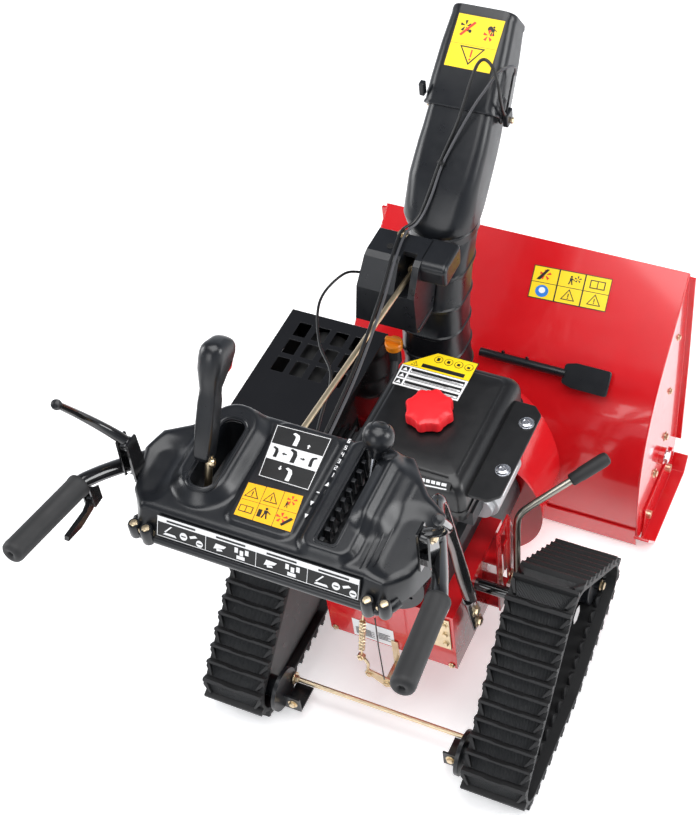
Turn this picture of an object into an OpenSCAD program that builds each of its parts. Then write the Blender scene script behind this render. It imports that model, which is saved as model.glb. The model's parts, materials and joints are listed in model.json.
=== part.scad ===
// Two-stage snow blower on rubber tracks, in millimetres.
// +X is the operator's right, +Y is forward, +Z is up, and the ground is z = 0.

/* [Auger housing] */
// Width across the outside of the auger housing
clearing_w = 660; // [640:5:680]
// Sheet thickness of the housing
sheet_t = 3; // [2:0.5:4]
// Radius of the auger flights
auger_r = 130; // [120:1:134]
// Radius of the impeller blades
impeller_r = 150; // [140:1:153]
// Outside radius of the impeller drum
drum_r = 160; // [158:1:162]

/* [Chute] */
// Outside radius of the round chute column
column_r = 60; // [56:1:62]
// Height at which the turning chute starts
chute_turn_z = 800; // [790:1:810]
// Forward lean of the upper end of the turning chute
chute_lean = 45; // [43:0.5:46]

/* [Tracks] */
// Distance between the two track centre lines
track_gauge = 553; // [545:1:560]
// Width of a track belt
track_w = 130; // [120:2:134]
// Wanted distance between two lugs along the belt
lug_pitch = 35; // [30:1:45]
// Height of a lug above the belt
lug_h = 14; // [8:1:16]

/* [Controls] */
// Radius of a rubber hand grip
grip_r = 19; // [17:0.5:20]
// Radius of a handle tube
tube_r = 12.5; // [11:0.5:13]

/* [Fits] */
// Radial clearance of every running shaft in its bore
run_fit = 0.06; // [0.02:0.01:0.1]

/* [Hidden] */
$fn = 64;
fine = 128;

half_w = clearing_w / 2;
inner_half = half_w - sheet_t;
// Rear wall of the housing: a large low arc, a tighter high arc, then a straight top
wall_c = [929, 117];
wall_r = 561;
wall_low_a = 189;
wall_mid_a = 172;
wall_high_a = 128;
high_r = 345;
high_c = wall_c + (wall_r - high_r) * [cos(wall_mid_a), sin(wall_mid_a)];
top_front = [661, 542.7];

auger_y = 512;
auger_z = 150;
impeller_z = 185;
shaft_r = 10;
drum_rear_y = 245;

column_x = -65;
column_y = 310;
bend_z = 570;
bend_r = 400;
turn_y = column_y + bend_r * (1 - cos(asin((chute_turn_z - bend_z) / bend_r)));
hinge_y = 517;
hinge_z = 967;
chute_half = 62;

engine_z = 318;
crank_z = 416;
frame_half = 135;
frame_rear = -128;
frame_front = 114;
frame_low = 148;
plate_t = 4;
axle_y = -17;
axle_z = 285;
axle_r = 12;
hex_y = 47;
hex_z = 262;
disc_x = 45;
disc_z = 262;

track_x = track_gauge / 2;
belt_t = 8;
wheel_r = 45;
rear_idler = [-250, 67];
shoe_end = [-30, 67];
front_idler = [165, 132];
sprocket = [axle_y, axle_z];
// Inside surface of a track belt, as circles in the order of a counter-clockwise walk
track_wheels = [
    [rear_idler.x, rear_idler.y, wheel_r],
    [shoe_end.x, shoe_end.y, wheel_r],
    [front_idler.x, front_idler.y, wheel_r],
    [sprocket.x, sprocket.y, wheel_r + 3]
];

joy_pivot = [-124, -430, 850];
joy_lean = 24;
speed_pivot = [97, -360, 790];
speed_lean = 27;
lever_pivot = [251, -409, 978];
trigger_pivot = [294, -473, 903];
rod_low = [-53, -330, 895];
rod_high = [-71, 277, 798];
lock_pivot = [176, 84, 190];

// ---------- helper functions ----------
// Points of an arc about c, from angle a to angle b
function arc(c, r, a, b, n) = [for (i = [0:n]) c + r * [cos(a + (b - a) * i / n), sin(a + (b - a) * i / n)]];
function reversed(p) = [for (i = [len(p) - 1:-1:0]) p[i]];
function turn(a) = a < 0 ? a + 360 : (a >= 360 ? a - 360 : a);
// Outward normal of the straight run from circle i to the next one
function run_normal(c, i) = let (
    p = c[i], q = c[(i + 1) % len(c)], d = [q.x - p.x, q.y - p.y]
) atan2(d.y, d.x) - acos((p.z - q.z) / norm(d));
function arc_angle(c, i) = turn(run_normal(c, i) - run_normal(c, (i + len(c) - 1) % len(c)));
function run_length(c, i) = let (
    p = c[i], q = c[(i + 1) % len(c)], d = norm([q.x - p.x, q.y - p.y])
) sqrt(d * d - (p.z - q.z) * (p.z - q.z));
function arc_length(c, i, off) = (c[i].z + off) * arc_angle(c, i) * PI / 180;
function part_lengths(c, off) = [for (i = [0:len(c) - 1]) each [arc_length(c, i, off), run_length(c, i)]];
function total(v, n) = n <= 0 ? 0 : v[n - 1] + total(v, n - 1);
// Closed outline that wraps every circle at a distance off
function wrap(c, off, n) = [
    for (i = [0:len(c) - 1]) each
    arc([c[i].x, c[i].y], c[i].z + off, run_normal(c, i) - arc_angle(c, i), run_normal(c, i), n)
];
// Point at arc length s along the wrap measured at distance base, lifted to distance off
function wrap_point(c, lens, s, base, off, k = 0) = let (start = total(lens, k))
    k >= len(lens) ? wrap_point(c, lens, s - start, base, off) :
    s > start + lens[k] ? wrap_point(c, lens, s, base, off, k + 1) :
    let (
        i = floor(k / 2), t = (s - start) / lens[k], b = run_normal(c, i),
        a = k % 2 == 0 ? b - arc_angle(c, i) * (1 - t) : b, q = c[(i + 1) % len(c)],
        mid = k % 2 == 0 ? [c[i].x, c[i].y] :
            (1 - t) * ([c[i].x, c[i].y] + c[i].z * [cos(b), sin(b)])
            + t * ([q.x, q.y] + q.z * [cos(b), sin(b)])
    ) mid + (k % 2 == 0 ? c[i].z + off : off) * [cos(a), sin(a)];
// Rounded rectangle, counter-clockwise
function round_rect(w, d, r, n = 6) = [
    for (q = [0:3]) each arc(
        [(w / 2 - r) * (q == 0 || q == 3 ? 1 : -1), (d / 2 - r) * (q < 2 ? 1 : -1)],
        r, q * 90, q * 90 + 90, n)
];
// A flat outline set at a point, leaned forward about X
function set_ring(p, at, lean) = [
    for (v = p) [at.x + v.x, at.y + v.y * cos(lean), at.z - v.y * sin(lean)]
];
function middle(p) = let (n = len(p)) [for (k = [0:2]) total([for (v = p) v[k]], n) / n];
function sub(a, b) = [a.x - b.x, a.y - b.y, a.z - b.z];
function unit(v) = v / norm(v);
// Rings of a round cord along its points
function cord_rings(p, r, n) = [for (i = [0:len(p) - 1]) let (
    t = unit(sub(p[min(i + 1, len(p) - 1)], p[max(i - 1, 0)])),
    s = unit(cross(t, [0.31, 0.17, 0.94])),
    u = cross(t, s)
) [for (j = [0:n - 1]) p[i] + r * cos(j * 360 / n) * s - r * sin(j * 360 / n) * u]];
// Catmull-Rom points along a hand-set route
function spline(p, n) = [for (i = [0:len(p) - 2]) each [for (j = [0:n - 1]) let (
    t = j / n, a = p[max(i - 1, 0)], b = p[i], c = p[i + 1], d = p[min(i + 2, len(p) - 1)]
) 0.5 * (2 * b + (c - a) * t + (2 * a - 5 * b + 4 * c - d) * t * t + (3 * b - a - 3 * c + d) * t * t * t)],
p[len(p) - 1]];

// ---------- helper modules ----------
// A Y-Z outline as a slab between two X planes
module slab_x(points, x0, x1) {
    translate([x0, 0, 0]) rotate([90, 0, 90]) linear_extrude(x1 - x0) polygon(points);
}
// The same slab on both sides of the machine
module slab_both(points, x0, x1) {
    slab_x(points, x0, x1);
    slab_x(points, -x1, -x0);
}
module cyl_x(x0, x1, y, z, r, n = $fn) {
    translate([x0, y, z]) rotate([0, 90, 0]) cylinder(h = x1 - x0, r = r, $fn = n);
}
module cyl_y(y0, y1, x, z, r, n = $fn) {
    translate([x, y0, z]) rotate([-90, 0, 0]) cylinder(h = y1 - y0, r = r, $fn = n);
}
module box(a, b) {
    translate(a) cube([b.x - a.x, b.y - a.y, b.z - a.z]);
}
// A round bar from a to b
module bar(a, b, r, n = 32) {
    d = sub(b, a);
    translate(a) rotate([0, acos(d.z / norm(d)), atan2(d.y, d.x)]) cylinder(h = norm(d), r = r, $fn = n);
}
// A round bar bent through a list of points
module bent_bar(p, r, n = 32) {
    for (i = [0:len(p) - 2]) bar(p[i], p[i + 1], r, n);
    for (i = [1:len(p) - 2]) translate(p[i]) sphere(r * 1.04, $fn = n);
}
// A closed solid through rings of equal count
module solid_loft(rings) {
    m = len(rings[0]);
    k = len(rings);
    side = [for (i = [0:k - 2], j = [0:m - 1]) each [
        [i * m + j, (i + 1) * m + j, i * m + (j + 1) % m],
        [i * m + (j + 1) % m, (i + 1) * m + j, (i + 1) * m + (j + 1) % m]
    ]];
    caps = [for (j = [0:m - 1]) each [
        [k * m, j, (j + 1) % m],
        [k * m + 1, (k - 1) * m + (j + 1) % m, (k - 1) * m + j]
    ]];
    polyhedron(concat([for (r = rings) each r], [middle(rings[0]), middle(rings[k - 1])]), concat(side, caps));
}
// A thick sheet between two grids of points of equal size
module sheet_loft(outer, inner) {
    k = len(outer);
    m = len(outer[0]);
    n = k * m;
    faces = [for (i = [0:k - 2], j = [0:m - 2]) each [
        [i * m + j, (i + 1) * m + j, i * m + j + 1],
        [i * m + j + 1, (i + 1) * m + j, (i + 1) * m + j + 1],
        [n + i * m + j, n + i * m + j + 1, n + (i + 1) * m + j],
        [n + i * m + j + 1, n + (i + 1) * m + j + 1, n + (i + 1) * m + j]
    ]];
    ends = [for (j = [0:m - 2]) each [
        [j, j + 1, n + j],
        [j + 1, n + j + 1, n + j],
        [n - m + j, 2 * n - m + j, n - m + j + 1],
        [n - m + j + 1, 2 * n - m + j, 2 * n - m + j + 1]
    ]];
    sides = [for (i = [0:k - 2]) each [
        [i * m, n + i * m, (i + 1) * m],
        [n + i * m, n + (i + 1) * m, (i + 1) * m],
        [i * m + m - 1, (i + 1) * m + m - 1, n + i * m + m - 1],
        [n + i * m + m - 1, (i + 1) * m + m - 1, n + (i + 1) * m + m - 1]
    ]];
    polyhedron(concat([for (r = outer) each r], [for (r = inner) each r]), concat(faces, ends, sides));
}
// A hollow tube: outer rings upwards, then inner rings back down
module tube_loft(outer, inner) {
    rings = concat(outer, reversed(inner));
    m = len(rings[0]);
    k = len(rings);
    polyhedron([for (r = rings) each r], [for (i = [0:k - 1], j = [0:m - 1]) let (n = (i + 1) % k) each [
        [i * m + j, n * m + j, i * m + (j + 1) % m],
        [i * m + (j + 1) % m, n * m + j, n * m + (j + 1) % m]
    ]]);
}
module cord(points, r) {
    solid_loft(cord_rings(points, r, 8));
}
module both_sides() {
    children();
    mirror([1, 0, 0]) children();
}

// ---------- housing and drum ----------
wall_outer = concat(
    arc(wall_c, wall_r, wall_low_a, wall_mid_a, 9),
    arc(high_c, high_r, wall_mid_a - 2, wall_high_a, 21));
wall_inner = concat(
    arc(high_c, high_r - sheet_t, wall_high_a, wall_mid_a - 2, 21),
    arc(wall_c, wall_r - sheet_t, wall_mid_a, wall_low_a, 9));

module auger_housing() {
    color("firebrick") difference() {
        slab_x(concat(wall_outer, [top_front, top_front - [0, sheet_t * 1.269]], wall_inner),
            -inner_half, inner_half);
        cyl_y(300, 480, 0, impeller_z, drum_r - sheet_t, fine);
    }
}

module side_plates() {
    edge = concat(wall_outer, [top_front, [663, 532], [655, 300], [636, 75], [618, 22], [395, 16]]);
    color("firebrick") both_sides() difference() {
        union() {
            slab_x(edge, inner_half, half_w);
            slab_x([[663, 532], [655, 300], [636, 75], [630, 75], [649, 300], [657, 532]], half_w, half_w + 12);
            cyl_x(half_w, half_w + 12, auger_y, auger_z, 18);
        }
        cyl_x(inner_half - 1, half_w + 13, auger_y, auger_z, shaft_r + run_fit);
    }
}

module impeller_drum() {
    color("firebrick") difference() {
        union() {
            cyl_y(drum_rear_y, 440, 0, impeller_z, drum_r, fine);
            cyl_y(drum_rear_y, drum_rear_y + 6, 0, impeller_z, drum_r + 9, fine);
            translate([column_x, column_y, impeller_z]) cylinder(h = 400 - impeller_z, r = column_r);
            translate([column_x, column_y, 392]) cylinder(h = 8, r = column_r + 6);
        }
        cyl_y(drum_rear_y + 4, 441, 0, impeller_z, drum_r - sheet_t, fine);
        translate([column_x, column_y, impeller_z]) cylinder(h = 401 - impeller_z, r = column_r - sheet_t);
        cyl_y(drum_rear_y - 1, drum_rear_y + 5, 0, impeller_z, shaft_r + run_fit);
        slab_x(concat(wall_outer, [top_front, [700, 540], [700, 29]]), -300, 300);
    }
}

module scraper_bar() {
    color("firebrick") difference() {
        slab_x(concat(arc(wall_c, wall_r + 5, 191.5, 185.5, 6), arc(wall_c, wall_r + 0.2, 185.5, 191.5, 6)),
            -inner_half, inner_half);
        cyl_y(drum_rear_y, 445, 0, impeller_z, drum_r + 0.2, fine);
    }
}

module skid_shoes() {
    color("firebrick") both_sides() {
        slab_x([[400, 2], [596, 2], [596, 82], [410, 82]], half_w, half_w + 5);
        slab_x([[345, 66], [395, 0], [600, 0], [628, 30], [624, 34], [598, 5], [398, 5], [350, 69]],
            half_w, half_w + 32);
    }
}

module augers() {
    flight_in = 15;
    steps = 36;
    color("firebrick") both_sides() {
        difference() {
            cyl_x(60, 318, auger_y, auger_z, 17);
            cyl_x(59, 319, auger_y, auger_z, shaft_r + 0.2);
        }
        for (start = [0, 180]) solid_loft([for (i = [0:steps]) let (
            a = start + 330 * i / steps, x = 66 + 244 * i / steps
        ) [for (q = [[flight_in, 2], [auger_r, 2], [auger_r, -2], [flight_in, -2]])
            [x + q.y, auger_y + q.x * cos(a), auger_z + q.x * sin(a)]]]);
    }
}

module auger_shaft() {
    color("silver") {
        cyl_x(-346, 346, auger_y, auger_z, shaft_r);
        cyl_x(-10, 10, auger_y, auger_z, 23.5);
        both_sides() cyl_x(344, 350, auger_y, auger_z, 15, 6);
    }
}

module auger_gearbox() {
    color("dimgray") difference() {
        union() {
            cyl_x(-30, 30, auger_y, auger_z, 44);
            cyl_x(-50, 50, auger_y, auger_z, 22);
            cyl_y(430, 572, 0, impeller_z, 24);
            translate([0, 572, impeller_z]) sphere(24);
        }
        cyl_x(-51, 51, auger_y, auger_z, shaft_r + run_fit);
        cyl_x(-16, 16, auger_y, auger_z, 32);
        cyl_y(429, 556, 0, impeller_z, shaft_r + run_fit);
    }
}

module impeller() {
    color("firebrick") difference() {
        union() {
            cyl_y(266, 352, 0, impeller_z, 26);
            for (a = [0:90:270]) translate([0, 0, impeller_z]) rotate([0, a, 0]) {
                box([20, 268, -2], [impeller_r - 8, 350, 2]);
                box([impeller_r - 12, 268, -2], [impeller_r - 8, 350, 26]);
            }
        }
        cyl_y(260, 356, 0, impeller_z, shaft_r + 0.2);
    }
}

// A V-belt pulley about a Y axis: rims with a groove between them
module pulley_y(y0, y1, x, z, r, groove) {
    difference() {
        cyl_y(y0, y1, x, z, r);
        difference() {
            cyl_y(y0 + 3, y1 - 3, x, z, r + 1);
            cyl_y(y0 + 2, y1 - 2, x, z, groove);
        }
    }
}

module impeller_shaft() {
    color("silver") {
        cyl_y(124, 550, 0, impeller_z, shaft_r);
        pulley_y(132, 154, 0, impeller_z, 75, 67);
    }
}

// ---------- frame and drive ----------
cover_circles = [[0, impeller_z, 82], [disc_x + 12, disc_z, 62], [0, crank_z, 58]];

module belt_cover() {
    color([0.12, 0.12, 0.13]) difference() {
        translate([0, 240, 0]) rotate([90, 0, 0]) linear_extrude(122) polygon(wrap(cover_circles, 6, 16));
        translate([0, 237, 0]) rotate([90, 0, 0]) linear_extrude(120) polygon(wrap(cover_circles, 3, 16));
        cyl_y(230, 246, 0, impeller_z, 30);
        cyl_y(230, 246, 0, crank_z, 22);
    }
}

module drive_belts() {
    color([0.07, 0.07, 0.07]) {
        for (b = [[[0, impeller_z, 67.5], [0, crank_z, 36.5], 148], [[disc_x, disc_z, 37.5], [0, crank_z, 36.5], 172]])
            translate([0, b.z, 0]) rotate([90, 0, 0]) linear_extrude(10) difference() {
                polygon(wrap([b.x, b.y], 7, 24));
                polygon(wrap([b.x, b.y], 0, 24));
            }
    }
}

module crankshaft() {
    color("silver") {
        cyl_y(-138, 232, 0, crank_z, shaft_r + 2.5);
        cyl_y(-132, -106, 0, crank_z, 78);
        pulley_y(132, 154, 0, crank_z, 44, 36);
        pulley_y(156, 178, 0, crank_z, 44, 36);
    }
}

module main_frame() {
    color("silver") cyl_x(163, 188, lock_pivot.y, lock_pivot.z, 6);
    slots = [[40, 376], [68, 376], [68, 330], [54, 330], [54, 250], [68, 250], [68, 205], [54, 205],
        [54, 172], [40, 172]];
    color("firebrick") difference() {
        union() {
            box([-frame_half, frame_rear, frame_low], [frame_half, frame_front + plate_t, engine_z]);
            slab_x([[20, frame_low + 10], [100, frame_low + 10], [100, 330], [82, 392], [28, 392], [20, 330]], 162, 166);
            box([frame_half - 1, 24, 300], [162, 96, 304]);
            box([frame_half - 1, 24, 160], [162, 96, 164]);
        }
        box([plate_t - frame_half, frame_rear + plate_t, frame_low + plate_t],
            [frame_half - plate_t, frame_front, engine_z - plate_t]);
        slab_x(slots, 161, 167);
        cyl_x(-200, 140, axle_y, axle_z, axle_r + run_fit);
        cyl_x(-200, 140, hex_y, hex_z, shaft_r + run_fit);
        cyl_y(frame_front - 1, frame_front + plate_t + 1, disc_x, disc_z, shaft_r + run_fit);
        cyl_y(frame_front - 1, frame_front + plate_t + 1, 0, impeller_z, shaft_r + 2);
    }
}

module friction_disc() {
    color("silver") {
        cyl_y(88.6, 176, disc_x, disc_z, shaft_r);
        cyl_y(88.6, 96, disc_x, disc_z, 47);
        pulley_y(156, 178, disc_x, disc_z, 44, 37);
    }
}

module hex_shaft() {
    color("silver") {
        cyl_x(-frame_half, frame_half, hex_y, hex_z, shaft_r);
        cyl_x(-96, -90, hex_y, hex_z, 15);
    }
}

module friction_wheel() {
    color([0.1, 0.1, 0.1]) difference() {
        union() {
            cyl_x(12, 24, hex_y, hex_z, 41);
            cyl_x(4, 40, hex_y, hex_z, 20);
        }
        cyl_x(0, 60, hex_y, hex_z, shaft_r + run_fit);
    }
}

module drive_chain() {
    loop = [[axle_y, axle_z, 26.5], [hex_y, hex_z, 15.5]];
    color("dimgray") translate([-96, 0, 0]) rotate([90, 0, 90]) linear_extrude(6) difference() {
        polygon(wrap(reversed(loop), 2.2, 20));
        polygon(wrap(reversed(loop), 0, 20));
    }
}

module drive_axle() {
    color("silver") {
        cyl_x(-track_x - 58, track_x + 58, axle_y, axle_z, axle_r);
        cyl_x(-96, -90, axle_y, axle_z, 26);
        both_sides() cyl_x(track_x + 50, track_x + 60, axle_y, axle_z, 19, 6);
    }
}

// Twin-disc wheel that leaves a middle groove for the guide horns of the belt
module twin_wheel(y, z, r, hub, bore) {
    both_sides() difference() {
        union() {
            cyl_x(track_x - 34, track_x - 10, y, z, r);
            cyl_x(track_x + 10, track_x + 34, y, z, r);
            cyl_x(track_x - 11, track_x + 11, y, z, hub);
        }
        cyl_x(track_x - 40, track_x + 40, y, z, bore);
    }
}

module drive_sprockets() {
    color([0.15, 0.15, 0.15]) difference() {
        twin_wheel(axle_y, axle_z, wheel_r + 2.4, 26, axle_r + 0.2);
        both_sides() for (a = [0:40:320]) translate([track_x - 50, axle_y, axle_z]) rotate([a, 0, 0])
            translate([0, 0, wheel_r + 6]) rotate([0, 90, 0]) cylinder(h = 100, r = 8, $fn = 24);
    }
}

module rear_idlers() {
    color([0.12, 0.12, 0.12]) twin_wheel(rear_idler.x, rear_idler.y, wheel_r - 0.6, 20, shaft_r + run_fit);
}

module front_idlers() {
    color([0.12, 0.12, 0.12]) twin_wheel(front_idler.x, front_idler.y, wheel_r - 0.6, 20, shaft_r + run_fit);
}

module track_frames() {
    plate = wrap([[rear_idler.x, rear_idler.y, 20], [shoe_end.x, shoe_end.y - 10, 20],
        [front_idler.x, front_idler.y, 20], [axle_y, axle_z, 24]], 0, 12);
    color([0.1, 0.1, 0.1]) both_sides() difference() {
        union() {
            slab_x(plate, track_x - 52, track_x - 46);
            slab_x([[rear_idler.x + 60, 24], [shoe_end.x, 24], [shoe_end.x, 34], [rear_idler.x + 60, 34]],
                track_x - 47, track_x - 12);
            cyl_x(190, track_x - 46, rear_idler.x, rear_idler.y, 22);
            cyl_x(190, 198, rear_idler.x, rear_idler.y, 46);
            box([154, -262, 22], [192, -258, 62]);
            slab_x([[-262, 22], [-204, 22], [-204, 26], [-262, 26]], 154, 192);
            cyl_x(track_x - 47, track_x + 44, rear_idler.x, rear_idler.y, shaft_r);
            cyl_x(track_x - 47, track_x + 44, front_idler.x, front_idler.y, shaft_r);
        }
        cyl_x(180, track_x, axle_y, axle_z, axle_r + run_fit);
        cyl_x(189, 199, -213, 56, 5);
    }
}

module rear_rod() {
    color("peru") cyl_x(-200, 200, -213, 56, 4.9, 32);
}

// Belt outline with lugs: four corners for a lug, then the belt up to the next one
module track_belts() {
    lens = part_lengths(track_wheels, belt_t);
    around = total(lens, len(lens));
    lugs = round(around / lug_pitch);
    step = around / lugs;
    outline = [for (k = [0:lugs - 1]) each [for (q = [[0, 0], [2.5, lug_h], [8, lug_h], [10.5, 0], [18, 0], [26, 0]])
        wrap_point(track_wheels, lens, k * step + q.x, belt_t, belt_t + q.y)]];
    horns = [for (k = [0:lugs - 1]) each [for (q = [[4, 0], [12, -13], [15, -13], [23, 0]])
        wrap_point(track_wheels, lens, k * step + q.x, belt_t, q.y)]];
    color([0.09, 0.09, 0.09]) both_sides() {
        difference() {
            slab_x(outline, track_x - track_w / 2, track_x + track_w / 2);
            slab_x(wrap(track_wheels, 0, 14), track_x - track_w / 2 - 1, track_x + track_w / 2 + 1);
        }
        difference() {
            slab_x(wrap(track_wheels, 2, 14), track_x - 7, track_x + 7);
            slab_x(horns, track_x - 8, track_x + 8);
        }
    }
}

module track_lever() {
    color("silver") {
        difference() {
            union() {
                cyl_x(168, 184, lock_pivot.y, lock_pivot.z, 16);
                bent_bar([lock_pivot + [0, 2, 12], [176, 96, 360], [184, 112, 378], [292, 236, 424]], 7);
            }
            cyl_x(160, 200, lock_pivot.y, lock_pivot.z, 6 + run_fit);
        }
        bar([250, 187.8, 406.1], [304, 249.8, 429.1], 14);
    }
}

// ---------- engine ----------
module engine_block() {
    color("dimgray") difference() {
        union() {
            box([-96, -96, engine_z], [98, 116, 455]);
            cyl_y(-96, 116, 0, crank_z, 78);
            box([-200, -60, 400], [-90, 90, 500]);
            for (x = [-196:12:-112]) box([x, -68, 392], [x + 4, 98, 508]);
            box([-236, -56, 396], [-206, 86, 504]);
            box([-206, -50, 402], [-199, 80, 498]);
            bar([-92, 80, 424], [-120, 236, 566], 8);
            translate([-121, 238, 556]) cylinder(h = 36, r = 12);
            box([60, -60, 440], [128, 60, 470]);
            box([-90, -70, 450], [110, 90, 536]);
            box([110, -40, 500], [150, 60, 536]);
        }
        cyl_y(-101, 121, 0, crank_z, shaft_r + 2.5 + run_fit);
        cyl_y(5, 162, 140, 488, 34.3, fine);
    }
}

module recoil_cover() {
    color([0.12, 0.12, 0.12]) difference() {
        cyl_y(-150, -96, 0, crank_z, 94, fine);
        cyl_y(-146, -95, 0, crank_z, 88, fine);
        for (a = [0:30:330]) translate([0, 0, crank_z]) rotate([0, a, 0]) box([38, -151, -4], [78, -145, 4]);
        cyl_y(-151, -145, 40, crank_z - 5, 9);
    }
}

module recoil_handle() {
    color([0.1, 0.1, 0.1]) {
        cyl_x(16, 64, -168, crank_z - 5, 9, 32);
        cyl_y(-168, -152, 40, crank_z - 5, 6, 32);
        cyl_y(-152.5, -144, 40, crank_z - 5, 3, 32);
    }
}

module starter_motor() {
    color("silver") {
        cyl_y(20, 136, 140, 488, 34);
        cyl_y(136, 158, 140, 488, 24);
        cyl_y(8, 20, 140, 488, 26);
    }
}

module muffler() {
    color("silver") {
        cyl_y(92, 250, -262, 520, 52);
        bar([-224, 100, 474], [-246, 112, 500], 12);
    }
}

module muffler_guard() {
    x0 = -354;
    x1 = -148;
    y0 = -44;
    y1 = 270;
    color([0.1, 0.1, 0.1]) difference() {
        box([x0, y0, 452], [x1, y1, 590]);
        box([x0 + 2, y0 + 2, 451], [x1 - 2, y1 - 2, 588]);
        for (i = [0:3], j = [0:2]) box([x0 + 30 + 40 * i, 110 + 48 * j, 580], [x0 + 56 + 40 * i, 146 + 48 * j, 600]);
        for (i = [0:3]) box([x0 - 1, 110 + 36 * i, 500], [x0 + 3, 128 + 36 * i, 560]);
        box([-250, y0 - 1, 440], [x1 + 1, 110, 520]);
    }
}

module fuel_tank() {
    plan = [[-86, -66], [-76, -76], [140, -76], [150, -66], [150, 206], [138, 216], [-16, 216], [-86, 158]];
    small = [for (v = plan) [32 + (v.x - 32) * 0.92, 70 + (v.y - 70) * 0.93]];
    color([0.1, 0.1, 0.1]) {
        solid_loft([
            [for (v = small) [v.x, v.y, 536]], [for (v = plan) [v.x, v.y, 548]],
            [for (v = plan) [v.x, v.y, 622]], [for (v = small) [v.x, v.y, 640]]
        ]);
        box([140, -50, 602], [206, 172, 608]);
        translate([31, 63, 630]) cylinder(h = 22, r = 24);
    }
}

module fuel_cap() {
    color("red") translate([31, 63, 641]) difference() {
        union() {
            cylinder(h = 28, r = 37);
            for (a = [0:45:315]) rotate(a) translate([31, 0, 0]) cylinder(h = 28, r = 11);
        }
        translate([0, 0, -1]) cylinder(h = 13, r = 24 + 0.3);
    }
}

module oil_cap() {
    color("orange") translate([-121, 238, 592.4]) {
        cylinder(h = 10, r = 17);
        translate([-15, -4, 9]) cube([30, 8, 16]);
    }
}

module engine_controls() {
    color([0.12, 0.12, 0.12]) difference() {
        box([-214, -106, 452], [-100, -69, 566]);
        cyl_y(-107, -86, -120, 540, 5 + run_fit);
        cyl_y(-107, -86, -195, 530, 10);
        cyl_y(-107, -86, -120, 490, 5);
    }
}

module choke_knob() {
    color([0.1, 0.1, 0.1]) {
        cyl_y(-120, -106.4, -120, 540, 15);
        cyl_y(-107, -88, -120, 540, 5, 32);
        box([-123, -130, 527], [-117, -119, 553]);
    }
}

module primer_button() {
    color("firebrick") {
        cyl_y(-116, -94, -195, 530, 9.7);
    }
}

module ignition_key() {
    color("firebrick") {
        cyl_y(-112, -90, -120, 490, 4.7, 32);
        box([-123, -130, 476], [-117, -111, 504]);
    }
}

// ---------- handles and controls ----------
tube_path = [[152, -62, 222], [166, -150, 560], [200, -262, 858], [299, -480, 945], [315, -642, 964.3]];
grip_a = [299.5, -485, 945.6];
grip_b = [316.2, -650, 965.4];

module handle_tubes() {
    color([0.08, 0.08, 0.08]) both_sides() {
        bent_bar(tube_path, tube_r, 40);
        box([frame_half, -96, 200], [152, -40, 216]);
        box([frame_half, -96, 300], [156, -60, 312]);
    }
}

module grips() {
    along = unit(sub(grip_b, grip_a));
    color([0.1, 0.1, 0.1]) both_sides() difference() {
        bar(grip_a, grip_b, grip_r, 48);
        bar(grip_a - 4 * along, [315, -642, 964.3] + 0.2 * along, tube_r + 0.1, 40);
    }
}

dash_plan = [[-158, -245], [-204, -300], [-244, -326], [-256, -366], [-236, -450], [-214, -488],
    [214, -488], [236, -450], [256, -366], [244, -326], [204, -300], [158, -245]];
function inset(p, k, d) = [for (v = p) [v.x * k, -370 + (v.y + 370) * d]];

function rod_at(y) = rod_low + (y - rod_low.y) / (rod_high.y - rod_low.y) * (rod_high - rod_low);

module dash_panel() {
    top_plan = inset(dash_plan, 0.94, 0.94);
    color([0.12, 0.12, 0.12]) difference() {
        union() {
            difference() {
                union() {
                    solid_loft([
                        [for (v = dash_plan) [v.x, v.y, 862]],
                        [for (v = dash_plan) [v.x, v.y, 900]],
                        [for (v = top_plan) [v.x, v.y, 934]]
                    ]);
                    hull() for (p = [[-158, -425], [-92, -425], [-158, -280], [-92, -280]])
                        translate([p.x, p.y, 900]) cylinder(h = 58, r1 = 30, r2 = 14, $fn = 24);
                    hull() for (p = [[78, -448], [120, -448], [78, -282], [120, -282]])
                        translate([p.x, p.y, 900]) cylinder(h = 46, r1 = 34, r2 = 12, $fn = 24);
                }
                translate([0, 0, 850]) linear_extrude(76) polygon(inset(dash_plan, 0.92, 0.92));
            }
            box([-150, -474, 836], [-108, -466, 930]);
            box([78, -372, 776], [82, -348, 930]);
            box([120, -372, 776], [124, -348, 930]);
            cyl_x(80, 122, speed_pivot.y, speed_pivot.z, 6, 32);
            box([-70, -306, 870], [-36, -298, 930]);
        }
        box([-144, -424, 840], [-104, -290, 980]);
        box([86, -446, 850], [116, -264, 980]);
        cyl_y(-480, -460, joy_pivot.x, joy_pivot.z, 6 + run_fit, 32);
        bar(rod_at(-312), rod_at(-292), 5 + run_fit, 64);
        box([-84, -262, 850], [-30, -230, 912]);
        both_sides() box([239.9, -426, 899.9], [264, -391, 1000]);
        for (s = [-1, 1]) bar([s * 190, -240, 800], [s * 200, -262, 858], tube_r + 1);
        for (s = [-1, 1]) bar([s * 200, -262, 858], [s * 299, -480, 945], tube_r + 1);
    }
}

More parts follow.
